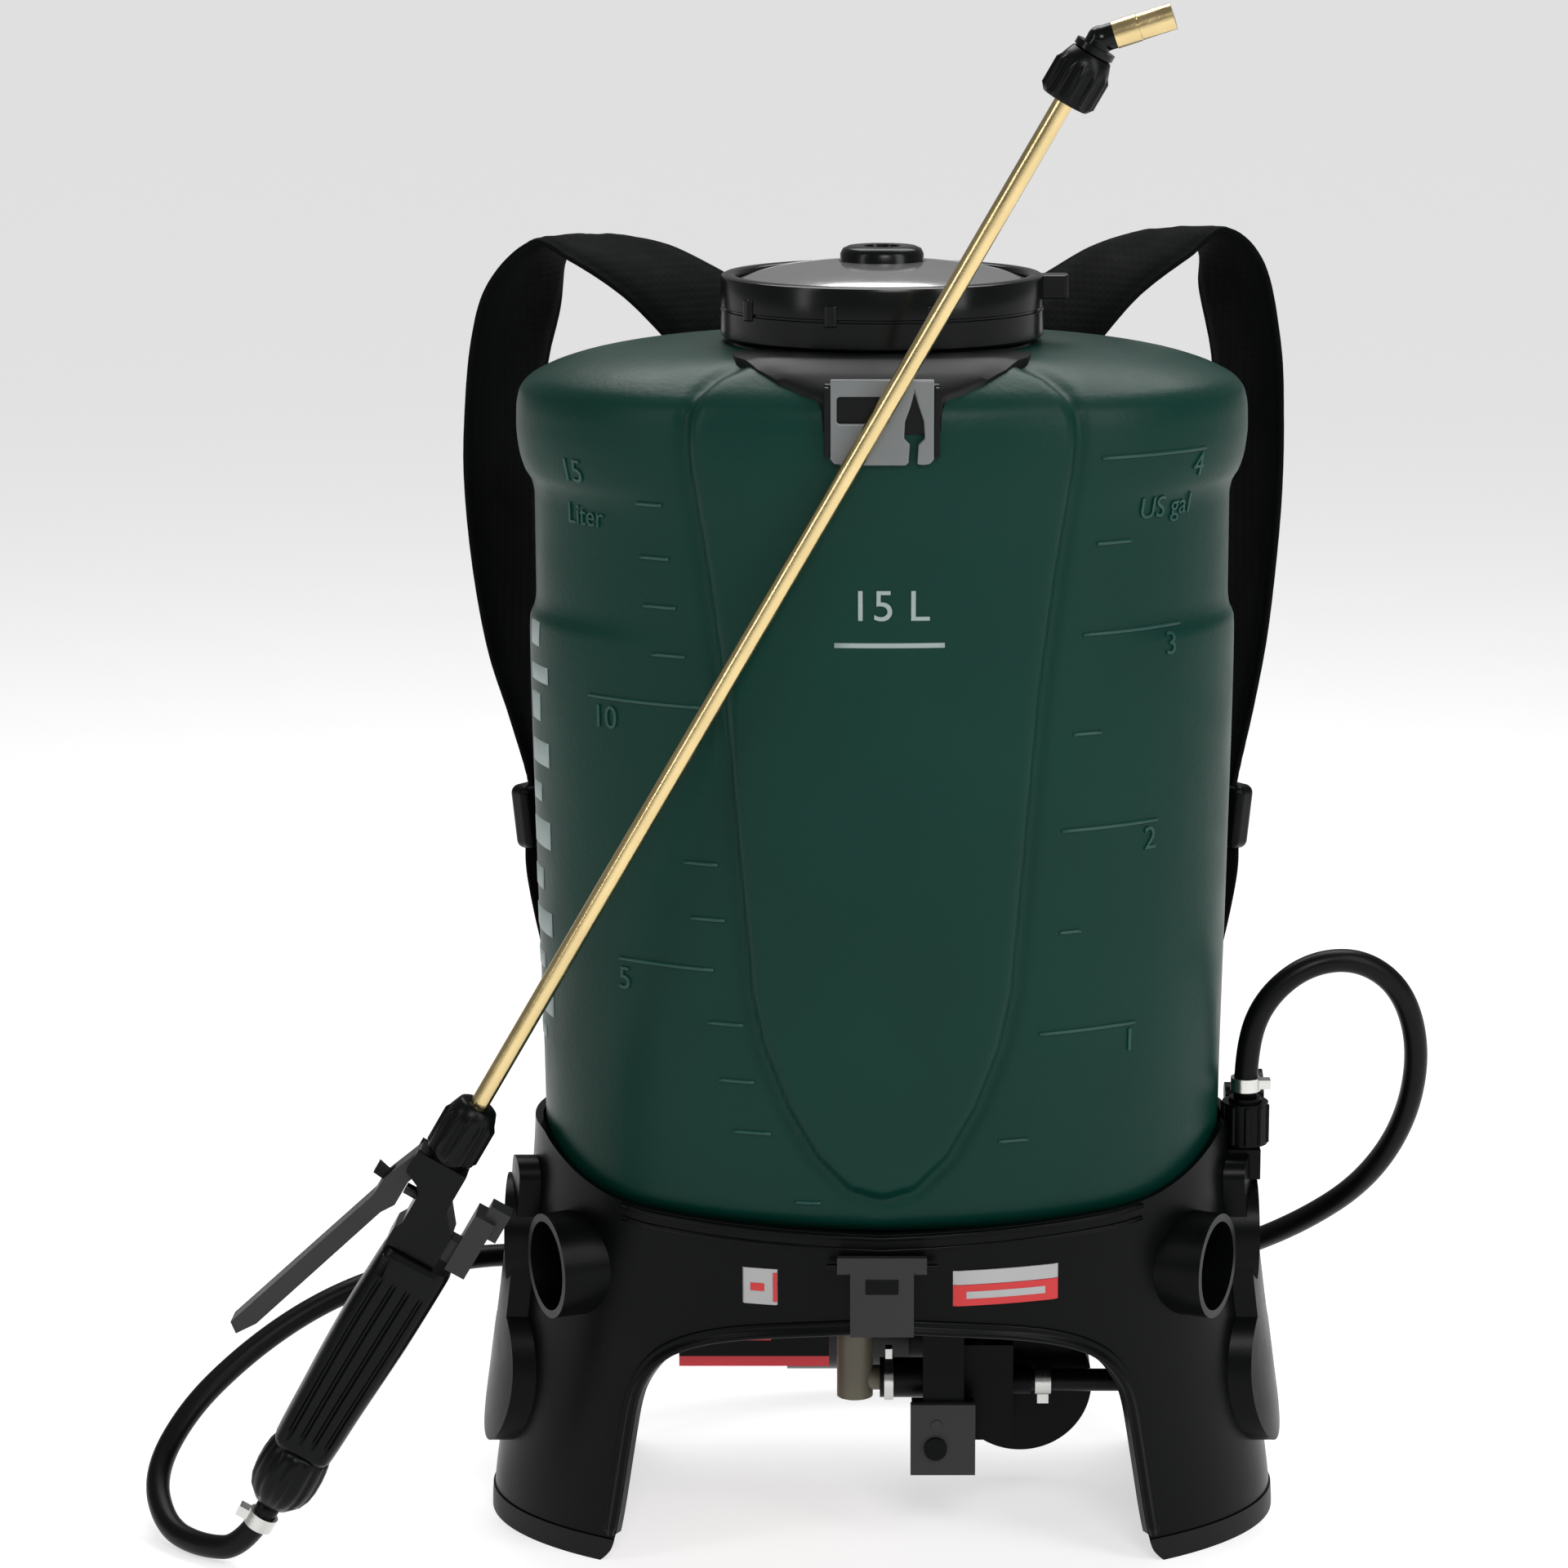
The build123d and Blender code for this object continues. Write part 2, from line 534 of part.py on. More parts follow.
TRIGGER_PIVOT = (8.0, -33.0)
TRIGGER_PIN_R = 1.8
PIN_Z = -49.0                # height of the valve pin that the trigger pushes in
VALVE_PIN_R = 2.5
LOCK = (19.3, -47.5)
GRIP_OUTLINE = [
    (-26.5, -72), (5.5, -72), (6.7, -110), (4.9, GRIP_BOTTOM), (-22.4, GRIP_BOTTOM), (-25, -122),
]
GUARD_OUTLINE = [(0.5, -76), (4, -76), (2.8, -84), (-0.5, -84)]
grip = gun_prism(GRIP_OUTLINE, 13) - gun_prism(GUARD_OUTLINE, 20)
grip = grip - gun_rod(GRIP_BOTTOM - 1, -71, 5.3, x=GRIP_X)
save("gun_grip", GUN * grip)

VALVE_OUTLINE = [
    (-10.5, -28.6), (6, -28.6), (6, -43), (3.5, -45.5), (3.5, -60.5), (5.5, -64), (5.5, -71.9),
    (-18, -71.9), (-18, -56), (-10.5, -46),
]
valve = gun_prism(VALVE_OUTLINE, 9)
cheek = gun_prism([(5.9, -28.6), (13, -28.6), (13, -39), (5.9, -42.5)], 1.4, y=7.6)
valve = valve + cheek + mirror(cheek, about=Plane.XZ) + gun_rod(-28.7, -7, 8.4)
valve = valve - gun_rod(-24, -6, LANCE_R + RUN) - valve_rod(-6, 7, VALVE_PIN_R + RUN)
save("gun_valve_body", GUN * (valve - cross_rod(TRIGGER_PIVOT, 12, TRIGGER_PIN_R)))
save("valve_pin", GUN * valve_rod(-0.5, 9.2, VALVE_PIN_R))
save("valve_spring", GUN * valve_rod(-5.8, -4.6, 2.2, 1.6))
save("trigger_pin", GUN * cross_rod(TRIGGER_PIVOT, 9, TRIGGER_PIN_R))

LEVER_OUTLINE = [
    (6.8, -29.5), (12, -28.3), (19.5, -48), (20, -57), (45.5, -139), (41, -142.5), (35.5, -134),
    (13.5, -62), (9.8, -56), (9.8, -44), (7.6, -38),
]
lever = gun_prism(LEVER_OUTLINE, 5.8) - cross_rod(TRIGGER_PIVOT, 12, TRIGGER_PIN_R + RUN)
save("trigger", GUN * (lever - block((16.9, 30), (-2.7, 2.7), (-52.5, -42.5))))
lock = cross_rod(LOCK, 2.4, 2.2)
lock = lock + gun_prism([(19, -45.4), (24.5, -44.0), (24.5, -49.0), (19, -49.6)], 2.4)
save("trigger_lock", GUN * lock)

pipe = gun_rod(-206, -72, 5, 2.6, x=GRIP_X) + gun_rod(-221, -206, 3.4, 2.0, x=GRIP_X)
save("gun_pipe", GUN * pipe)
tail = gun_rod(-206, GRIP_BOTTOM - GAP, 14.6, 5 + GAP, x=GRIP_X)
tail = chamfer(tail.edges().filter_by(GeomType.CIRCLE).group_by(SortBy.RADIUS)[-1], 4)
save("gun_tail_nut", GUN * tail)
save("hose_gun_end", gun_end - GUN * gun_rod(-221.2, -206, 3.4, x=GRIP_X))
gun_clamp = gun_rod(-219.5, -213, 6.6, HOSE_R, x=GRIP_X)
gun_clamp = gun_clamp + block((GRIP_X + 5.6, GRIP_X + 11), (-3, 3), (-218.5, -214))
save("gun_hose_clamp", GUN * gun_clamp)
clip = block((-31.5, -22), (-8, 8), (-70, -42)) + block((-24, -18.05), (-5, 5), (-68, -58))
clip = clip + block((-35.5, -31.4), (-5, 5), (-50, -36)) + block((-31.5, -26), (-5, 5), (-43, -36))
save("gun_hanger_clip", GUN * (clip - grip))


def ribbed_nut(low, high, r, bore):
    body = gun_rod(low, high, r - 1, bore)
    for index in range(10):
        rib = Cylinder(1.6, high - low - 4)
        body = body + Rot(0, 0, 36 * index) * Pos(r - 1.6, 0, (low + high) / 2) * rib
    return body


lance_nut = ribbed_nut(-27, 0, 12, LANCE_R + GAP)
save("lance_nut", GUN * (lance_nut - gun_rod(-28, -6.7, 8.4 + GAP)))
TOP = LANCE_LENGTH
save("lance_tube", GUN * gun_rod(-22, TOP + 8, LANCE_R, LANCE_BORE_R))

# ---- nozzle end, at the top of the lance ----
top_nut = ribbed_nut(TOP - 14, TOP + 8, 11, LANCE_R + GAP)
save("nozzle_nut", GUN * (top_nut - gun_rod(TOP - 8, TOP + 9, 7 + GAP)))
elbow = gun_rod(TOP - 7, TOP + 8.3, 7, LANCE_R) + gun_rod(TOP + 8.3, TOP + 11, 8.5)
elbow = GUN * (elbow + gun_rod(TOP + 10, KNEE, 5.5))
knee = GUN.from_local_coords(Vector(0, 0, KNEE))
NECK_LENGTH = 6.0
nozzle_plane = Plane(origin=tuple(knee), x_dir=(0, 1, 0), z_dir=NOZZLE_DIR)
elbow = elbow + Pos(*knee) * Sphere(5.6)
elbow = elbow + nozzle_plane * (Pos(0, 0, NECK_LENGTH / 2) * Cylinder(5.3, NECK_LENGTH))
nozzle_plane = nozzle_plane.offset(NECK_LENGTH)
save("lance_elbow", elbow + nozzle_plane * (Pos(0, 0, 3) * Cylinder(3.2, 8)))
body = Pos(0, 0, 5) * Cylinder(5.6, 10) - Pos(0, 0, 3) * Cylinder(3.2, 8.1)
body = body + Pos(0, 0, 13) * Cylinder(4.0, 8)
save("nozzle_body", nozzle_plane * (body - Pos(0, 0, 12) * Cylinder(1.0, 14)))
tip = Pos(0, 0, 17.3) * Cylinder(5.4, 14) - Pos(0, 0, 13.7) * Cylinder(4.0 + RUN, 7.6)
save("nozzle_tip", nozzle_plane * (tip - Pos(0, 0, 20) * Cylinder(0.8, 12)))
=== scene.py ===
import bisect
import math

import bmesh
import bpy
import numpy as np
from mathutils import Matrix, Vector


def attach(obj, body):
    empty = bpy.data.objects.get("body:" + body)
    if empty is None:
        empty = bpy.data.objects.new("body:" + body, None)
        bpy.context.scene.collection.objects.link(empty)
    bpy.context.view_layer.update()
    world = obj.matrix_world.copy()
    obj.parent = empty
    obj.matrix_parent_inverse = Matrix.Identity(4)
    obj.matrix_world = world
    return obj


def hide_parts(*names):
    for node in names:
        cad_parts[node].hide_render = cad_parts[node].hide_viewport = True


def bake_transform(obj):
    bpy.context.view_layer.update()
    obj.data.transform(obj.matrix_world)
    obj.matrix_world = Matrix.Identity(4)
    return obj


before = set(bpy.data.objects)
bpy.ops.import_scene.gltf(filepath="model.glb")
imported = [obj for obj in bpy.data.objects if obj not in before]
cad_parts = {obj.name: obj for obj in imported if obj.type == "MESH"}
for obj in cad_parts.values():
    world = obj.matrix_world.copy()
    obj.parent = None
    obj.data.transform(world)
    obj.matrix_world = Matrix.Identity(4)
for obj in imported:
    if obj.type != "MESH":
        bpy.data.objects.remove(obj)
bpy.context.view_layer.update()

MM = 0.001


# ---- materials ----
def principled(name, color, rough, **sockets):
    material = bpy.data.materials.new(name)
    material.use_nodes = True
    shader = material.node_tree.nodes["Principled BSDF"]
    shader.inputs["Base Color"].default_value = (*color, 1)
    shader.inputs["Roughness"].default_value = rough
    for socket, value in sockets.items():
        shader.inputs[socket.replace("_", " ")].default_value = value
    return material, material.node_tree, shader


def wire(tree, node_type, **values):
    node = tree.nodes.new(node_type)
    for key, value in values.items():
        if hasattr(node, key):
            setattr(node, key, value)
        else:
            node.inputs[key.replace("_", " ")].default_value = value
    return node


def detail(tree, shader, color, vary, scale, rough, rough_vary, bump, bump_scale, texture=None):
    """Colour and roughness that vary slowly, and a fine bump, all from noise in object space."""
    place = wire(tree, "ShaderNodeTexCoord")
    slow = wire(tree, "ShaderNodeTexNoise", Scale=scale, Detail=4.0)
    tree.links.new(place.outputs["Object"], slow.inputs["Vector"])
    ramp = wire(tree, "ShaderNodeValToRGB")
    ramp.color_ramp.elements[0].position = 0.3
    ramp.color_ramp.elements[1].position = 0.7
    ramp.color_ramp.elements[0].color = (*[c * (1 - vary) for c in color], 1)
    ramp.color_ramp.elements[1].color = (*[min(1, c * (1 + vary)) for c in color], 1)
    tree.links.new(slow.outputs["Fac"], ramp.inputs["Fac"])
    tree.links.new(ramp.outputs["Color"], shader.inputs["Base Color"])
    spread = wire(tree, "ShaderNodeMapRange", From_Min=0.3, From_Max=0.7,
                  To_Min=rough - rough_vary, To_Max=rough + rough_vary)
    smudge = wire(tree, "ShaderNodeTexNoise", Scale=scale * 3.1, Detail=5.0)
    tree.links.new(place.outputs["Object"], smudge.inputs["Vector"])
    tree.links.new(smudge.outputs["Fac"], spread.inputs["Value"])
    tree.links.new(spread.outputs["Result"], shader.inputs["Roughness"])
    fine = texture or wire(tree, "ShaderNodeTexNoise", Scale=bump_scale, Detail=3.0)
    tree.links.new(place.outputs["Object"], fine.inputs["Vector"])
    lift = wire(tree, "ShaderNodeBump", Strength=bump, Distance=0.0004)
    tree.links.new(fine.outputs["Fac"], lift.inputs["Height"])
    tree.links.new(lift.outputs["Normal"], shader.inputs["Normal"])
    return place, ramp, lift


def plastic(name, color, rough, vary=0.12, bump=0.25, bump_scale=900, rough_vary=0.05, **sockets):
    material, tree, shader = principled(name, color, rough, **sockets)
    detail(tree, shader, color, vary, 9, rough, rough_vary, bump, bump_scale)
    return material


def metal(name, color, rough, **sockets):
    material, tree, shader = principled(name, color, rough, Metallic=1.0, **sockets)
    detail(tree, shader, color, 0.1, 30, rough, 0.07, 0.12, 1400)
    return material


def woven(name, color, step):
    """Fabric with a plain weave: two wave textures at right angles, in object space."""
    material, tree, shader = principled(name, color, 0.9, Specular_IOR_Level=0.05)
    place, ramp, lift = detail(tree, shader, color, 0.2, 14, 0.85, 0.07, 0.4, 500)
    heights = []
    for direction in ("X", "Z"):
        wave = wire(tree, "ShaderNodeTexWave", bands_direction=direction, Scale=1 / step / 6.283,
            Distortion=0.4)
        tree.links.new(place.outputs["Object"], wave.inputs["Vector"])
        heights.append(wave.outputs["Fac"])
    mix = wire(tree, "ShaderNodeMath", operation="MULTIPLY")
    tree.links.new(heights[0], mix.inputs[0])
    tree.links.new(heights[1], mix.inputs[1])
    tree.links.new(mix.outputs[0], lift.inputs["Height"])
    return material


GREEN = plastic("tank_green", (0.001, 0.028, 0.0195), 0.4, vary=0.1, bump=0.3, bump_scale=420,
                Specular_IOR_Level=0.15)
# Level marks and scale numbers are the tank's own green; this lighter green is a painted highlight on the
# raised marks.
GREEN_PAINTED_HIGHLIGHT = plastic("green_painted_highlight", (0.006, 0.05, 0.039), 0.4, vary=0.08, bump=0.1, bump_scale=420,
    Specular_IOR_Level=0.35)
BLACK = plastic("base_black", (0.0016, 0.0019, 0.0019), 0.32, bump=0.12, bump_scale=1300,
    Specular_IOR_Level=0.09)
GLOSS = plastic("gloss_black", (0.0025, 0.003, 0.003), 0.2, bump=0.05, Specular_IOR_Level=0.15,
    Coat_Weight=0.08,
                Coat_Roughness=0.2)
SATIN = plastic("satin_black", (0.0025, 0.003, 0.003), 0.42, bump=0.08, Specular_IOR_Level=0.14)
GUN_BLACK = plastic("gun_black", (0.002, 0.0023, 0.0023), 0.3, bump=0.15, bump_scale=1600,
    Specular_IOR_Level=0.13)
GREY = plastic("dark_grey", (0.018, 0.018, 0.0185), 0.4, bump=0.3, bump_scale=1500, Specular_IOR_Level=0.3)
# The lance tongue is black gloss plastic; its mid-grey colour is a painted reflection of the lights.
TONGUE = plastic("tongue_painted_reflection", (0.13, 0.14, 0.143), 0.34, bump=0.1, bump_scale=900, Coat_Weight=0.2,
    Coat_Roughness=0.25)
RED = plastic("battery_red", (0.55, 0.008, 0.018), 0.38)
PLATE = plastic("plate_grey", (0.36, 0.36, 0.36), 0.5, bump=0.1)
PLATE_RED = plastic("plate_red", (0.5, 0.018, 0.02), 0.5, bump=0.1)
INK = plastic("ink", (0.25, 0.31, 0.3), 0.5, vary=0.05, bump=0.1)
MESH_WHITE = plastic("strainer_white", (0.6, 0.61, 0.58), 0.5, bump=1.0, bump_scale=1100)
RUBBER = plastic("hose_rubber", (0.0022, 0.0022, 0.0025), 0.36, bump=0.15, bump_scale=1800,
    Specular_IOR_Level=0.13)
FOOT = plastic("foot_rubber", (0.003, 0.003, 0.003), 0.5, bump=0.4, bump_scale=900, Specular_IOR_Level=0.18)
OLIVE = plastic("olive_hose", (0.12, 0.11, 0.075), 0.4, bump=0.2)
FABRIC = woven("strap_fabric", (0.0028, 0.0032, 0.0032), 0.0016)
WEB = woven("webbing", (0.002, 0.002, 0.002), 0.0011)
BRASS = metal("brass", (0.72, 0.56, 0.28), 0.2)
STEEL = metal("steel", (0.55, 0.55, 0.56), 0.28)
CLAMP = metal("clamp_metal", (0.62, 0.62, 0.6), 0.26)
LID = plastic("lid_gloss", (0.16, 0.16, 0.16), 0.14, bump=0.04, Specular_IOR_Level=1.0, Coat_Weight=1.0,
    Coat_Roughness=0.1)
MOTOR = plastic("motor_paint", (0.006, 0.006, 0.007), 0.3, Specular_IOR_Level=0.3)


# ---- mesh helpers, in millimetres ----
def piece(name, points, faces, body, material, replaces=(), smooth=True, to_world=None):
    mesh = bpy.data.meshes.new(name)
    if to_world:
        points = [to_world(*p) for p in points]
    mesh.from_pydata([Vector(p) * MM for p in points], [], faces)
    mesh.validate()
    mesh.update()
    thing = bpy.data.objects.new(name, mesh)
    bpy.context.scene.collection.objects.link(thing)
    bm_fix(thing)
    thing.data.materials.append(material)
    if smooth:
        thing.data.shade_smooth()
    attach(thing, body)
    if replaces:
        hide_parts(*replaces)
    return thing


def bm_fix(thing):
    work = bmesh.new()
    work.from_mesh(thing.data)
    bmesh.ops.remove_doubles(work, verts=work.verts, dist=1e-6)
    bmesh.ops.recalc_face_normals(work, faces=work.faces)
    work.to_mesh(thing.data)
    work.free()


def bevel(thing, width, segments=2, angle=35):
    mod = thing.modifiers.new("bevel", "BEVEL")
    mod.width = width * MM
    mod.segments = segments
    mod.limit_method = "ANGLE"
    mod.angle_limit = math.radians(angle)
    mod.harden_normals = False
    return thing


def by_angle(thing, angle=35):
    thing.data.shade_smooth()
    thing.data.set_sharp_from_angle(angle=math.radians(angle))
    return thing


def grid(rows, closed_row=True, caps=True):
    """Points and faces of a skin through rows of points of equal length."""
    width = len(rows[0])
    points = [p for row in rows for p in row]
    faces = []
    for r in range(len(rows) - 1):
        for c in range(width if closed_row else width - 1):
            d = (c + 1) % width
            faces.append((r * width + c, r * width + d, (r + 1) * width + d, (r + 1) * width + c))
    if caps:
        faces.append(tuple(range(width))[::-1])
        faces.append(tuple(range(len(points) - width, len(points))))
    return points, faces


def turned(profile, steps=96, closed=False, ribs=0, rib=0.0, rib_zone=(0, 0)):
    """A body turned about Z through (radius, height) points, with lengthwise ribs in a height zone."""
    rows = []
    for r, z in profile:
        row = []
        for k in range(steps):
            t = 2 * math.pi * k / steps
            ribbed = ribs and rib_zone[0] <= z <= rib_zone[1]
            grow = rib * max(0, math.cos(t * ribs)) ** 0.6 if ribbed else 0
            row.append(((r + grow) * math.cos(t), (r + grow) * math.sin(t), z))
        rows.append(row)
    if closed:
        rows.append(rows[0])
    return grid(rows, True, not closed)


def curve_at(stops, z):
    """Smooth value from (z, value...) stops, by a monotone cubic."""
    zs = [s[0] for s in stops]
    if z <= zs[0]:
        return stops[0][1:]
    if z >= zs[-1]:
        return stops[-1][1:]
    i = bisect.bisect_right(zs, z) - 1
    t = (z - zs[i]) / (zs[i + 1] - zs[i])
    out = []
    for k in range(1, len(stops[0])):
        def slope(j):
            if j <= 0 or j >= len(stops) - 1:
                return 0.0
            a = (stops[j][k] - stops[j - 1][k]) / (zs[j] - zs[j - 1])
            b = (stops[j + 1][k] - stops[j][k]) / (zs[j + 1] - zs[j])
            return 0.0 if a * b <= 0 else 2 * a * b / (a + b)
        h = zs[i + 1] - zs[i]
        p, q = stops[i][k], stops[i + 1][k]
        m, n = slope(i) * h, slope(i + 1) * h
        out.append(p * (2 * t**3 - 3 * t**2 + 1) + m * (t**3 - 2 * t**2 + t)
                   + q * (3 * t**2 - 2 * t**3) + n * (t**3 - t**2))
    return out


def spline(points, order=3, step=12):
    """World points along a NURBS line through the route."""
    data = bpy.data.curves.new("line", "CURVE")
    data.dimensions = "3D"
    data.resolution_u = step
    line = data.splines.new("NURBS")
    line.points.add(len(points) - 1)
    for point, co in zip(line.points, points):
        point.co = (*co, 1)
    line.order_u = order
    line.use_endpoint_u = True
    holder = bpy.data.objects.new("line", data)
    bpy.context.scene.collection.objects.link(holder)
    bpy.context.view_layer.update()
    mesh = bpy.data.meshes.new_from_object(holder)
    out = [v.co.copy() for v in mesh.vertices]
    bpy.data.objects.remove(holder)
    return out


def tube_rows(path, r, steps=20, twist=None):
    """Rings along a path, with a frame carried along so that it doesn't twist."""
    rows = []
    up = Vector((0.3, 1, 0.2))
    for i, p in enumerate(path):
        along = (path[min(i + 1, len(path) - 1)] - path[max(i - 1, 0)]).normalized()
        up = (up - along * up.dot(along)).normalized()
        side = along.cross(up)
        radius = r(i) if callable(r) else r
        rows.append([tuple(p + (up * math.cos(a) + side * math.sin(a)) * radius)
                     for a in [2 * math.pi * k / steps for k in range(steps)]])
    return rows


# ---- camera, floor and light ----
camera = bpy.data.objects.new("camera", bpy.data.cameras.new("camera"))
camera.location = (0, -1.915, 0.734)
camera.rotation_euler = (math.radians(78.15), 0, 0)
camera.data.sensor_width = 36
camera.data.lens = 102.11
camera.data.shift_x = -0.0625
bpy.context.scene.collection.objects.link(camera)
bpy.context.scene.camera = camera

points, faces = grid([[(-90000, y, 0), (90000, y, 0)] for y in (-90000, 90000)], False, False)
floor_mesh = bpy.data.meshes.new("floor")
floor_mesh.from_pydata([Vector(p) * MM for p in points], [], faces)
floor = bpy.data.objects.new("floor", floor_mesh)
bpy.context.scene.collection.objects.link(floor)
floor_mesh.materials.append(plastic("floor_pale", (0.55, 0.55, 0.55), 0.8, vary=0.01, bump=0.02,
    Specular_IOR_Level=0.1,
                                    Emission_Color=(1, 1, 1, 1), Emission_Strength=0.62))

world = bpy.data.worlds.new("world")
bpy.context.scene.world = world
world.use_nodes = True
world.node_tree.nodes["Background"].inputs["Color"].default_value = (1, 1, 1, 1)
world.node_tree.nodes["Background"].inputs["Strength"].default_value = 0.22


def softbox(name, place, target, size, power):
    data = bpy.data.lights.new(name, "AREA")
    data.shape = "RECTANGLE"
    data.size, data.size_y = size
    data.energy = power
    lamp = bpy.data.objects.new(name, data)
    lamp.location = place
    lamp.rotation_euler = (Vector(target) - Vector(place)).to_track_quat("-Z", "Y").to_euler()
    bpy.context.scene.collection.objects.link(lamp)


softbox("top_back", (0.1, 0.9, 2.0), (0, 0, 0.5), (1.9, 1.2), 36)
softbox("left", (-1.5, -1.0, 1.2), (0, 0, 0.3), (0.3, 1.4), 6)
softbox("right", (1.5, -1.2, 1.3), (0, 0, 0.35), (0.7, 1.6), 18)
softbox("front", (0.35, -2.3, 1.9), (0, 0, 0.35), (0.9, 0.7), 26)
bpy.context.scene.view_settings.view_transform = "Standard"

# ---- hose ----
HOSE_ROUTE = [
    (161.5, -8, 192), (161.5, -8, 214), (169, -7, 236), (188, -5, 252), (212, -1, 253.5),
    (232, 5, 238), (241, 12, 208), (237, 22, 172), (221, 38, 139), (195, 62, 112), (163, 92, 88),
    (127, 120, 66), (86, 139, 48), (39, 149, 38), (-11, 151, 36), (-60, 145, 43), (-104, 130, 58),
    (-141, 108, 77), (-172, 83, 90), (-204, 60, 93.5), (-236, 44, 89), (-264, 31, 79),
    (-291, 15, 63), (-314, -6, 44), (-326, -31, 23), (-317, -56, 8), (-299, -73, 5.6),
    (-278.2, -84.8, 9.6), (-265.5, -86.5, 31.6),
]
hose_line = spline([[c * MM for c in p] for p in HOSE_ROUTE])
points, faces = grid(tube_rows([p / MM for p in hose_line], 5.25))
hose = piece("rubber_hose", points, faces, "root", RUBBER, ("hose", "hose_gun_end"))
hose.parent = None
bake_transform(hose)

# ---- tank ----
TANK = [
    (154, 130, 86), (156, 139, 94.5), (160, 146, 100.5), (167, 149.5, 103.5), (206, 150, 104),
    (300, 151.9, 105), (402, 153.5, 106), (409, 153.2, 105.8), (414, 151.2, 104.1), (420, 150.5, 103.5),
    (462, 150.5, 103.5), (468, 151.5, 104.3), (474, 154.8, 107), (482, 157, 108.3), (492, 158, 109),
    (500, 157.8, 108.9), (507, 156.5, 107.8), (512, 153, 104.5), (517, 144.5, 98), (521, 133.5, 91),
    (524, 121, 84.5), (526.3, 104, 77.5), (527.6, 76, 70), (528, 62, 60),
]
PANEL = [
    (0, 174), (14, 178), (28, 192), (40, 213), (50, 239), (55, 262), (60, 320), (66, 393), (72, 440),
    (79, 484), (80, 496), (79, 506), (75, 514), (67, 520), (58, 523.5), (50, 540),
]
PANEL_X = np.array([p[0] for p in PANEL], float)
PANEL_Z = np.array([p[1] for p in PANEL], float)


def panel_distance(x, z):
    """How far inside the panel's outline a point is, negative outside it."""
    x = abs(x)
    ax, az, bx, bz = PANEL_X[:-1], PANEL_Z[:-1], PANEL_X[1:], PANEL_Z[1:]
    t = np.clip(((x - ax) * (bx - ax) + (z - az) * (bz - az)) / ((bx - ax) ** 2 + (bz - az) ** 2), 0, 1)
    near = float(np.min(np.hypot(x - ax - t * (bx - ax), z - az - t * (bz - az))))
    if not PANEL_Z[0] < z < PANEL_Z[-1]:
        return -near
    return near if x < float(np.interp(z, PANEL_Z, PANEL_X)) else -near


PLAIN = [(402, 153.5, 106), (450, 154.6, 106.8), (492, 158, 109)]


def tank_point(t, z, lift=0.0):
    """The tank's surface at angle t from the front, at height z. The waist fades out towards the front."""
    a, b = curve_at(TANK, z)
    if 402 < z < 492 and math.cos(t) > 0:
        keep = min(1.0, max(0.0, (abs(math.sin(t)) - 0.5) / 0.42))
        keep = keep * keep * (3 - 2 * keep)
        plain_a, plain_b = curve_at(PLAIN, z)
        a, b = plain_a + (a - plain_a) * keep, plain_b + (b - plain_b) * keep
    x, y = a * math.sin(t), -b * math.cos(t)
    over = y - 80
    if over > 0:
        y = 80 + 7.9 * math.tanh(over / 7.9)
    grow = lift
    if y < 0:
        inside = panel_distance(x, z)
        edge = 1 / (1 + math.exp(-(inside - 1.5) / 0.9))
        fade = min(1.0, max(0.0, (528 - z) / 7))
        grow += fade * (4.3 * edge - 1.7 * math.exp(-((inside + 1.6) / 2.3) ** 2))
    normal = Vector((x / a**2, y / b**2, 0)).normalized()
    fall = max(0.0, (curve_at(TANK, z - 0.6)[0] - curve_at(TANK, z + 0.6)[0]) / 1.2) if z > 480 else 0.0
    normal = Vector((normal.x, normal.y, fall)).normalized()
    return (x + normal.x * grow, y + normal.y * grow, z + normal.z * grow)


def surface_angle(x, z):
    a, _ = curve_at(TANK, z)
    return math.asin(max(-1, min(1, x / a)))


tank_rows = []
angles = [2 * math.pi * k / 420 for k in range(420)]
heights = [154, 155, 156, 158, 160, 163, 167]
heights += list(np.arange(171, 506, 2.0)) + list(np.arange(506, 524, 1.2))
heights += [524, 524.8, 525.5, 526.1, 526.6, 527, 527.3, 527.6, 527.8, 528]
for z in heights:
    tank_rows.append([tank_point(t, float(z)) for t in angles])
points, faces = grid(tank_rows)
neck_points, neck_faces = turned([(57, 526), (61, 526), (61, 547.2), (60.2, 548), (57.8, 548), (57, 547.2)],
    closed=True)
faces += [tuple(i + len(points) for i in f) for f in neck_faces]
points += neck_points
piece("tank_shell", points, faces, "root", GREEN, ("tank",))


def surface_strip(name, marks, lift, material, depth=0.8):
    """Thin raised bars on the tank: each is (x start, x end, z, height)."""
    points, faces = [], []
    for x0, x1, z, high in marks:
        rows = []
        for k in range(7):
            x = x0 + (x1 - x0) * k / 6
            t = surface_angle(x, z)
            ring = []
            for dz, out in ((-high / 2, lift - 1), (-high / 2 * 0.75, depth), (high / 2 * 0.75, depth),
                (high / 2, lift - 1)):
                ring.append(tank_point(t, z + dz, out))
            rows.append(ring)
        p, f = grid(rows)
        faces += [tuple(i + len(points) for i in g) for g in f]
        points += p
    return piece(name, points, faces, "root", material)


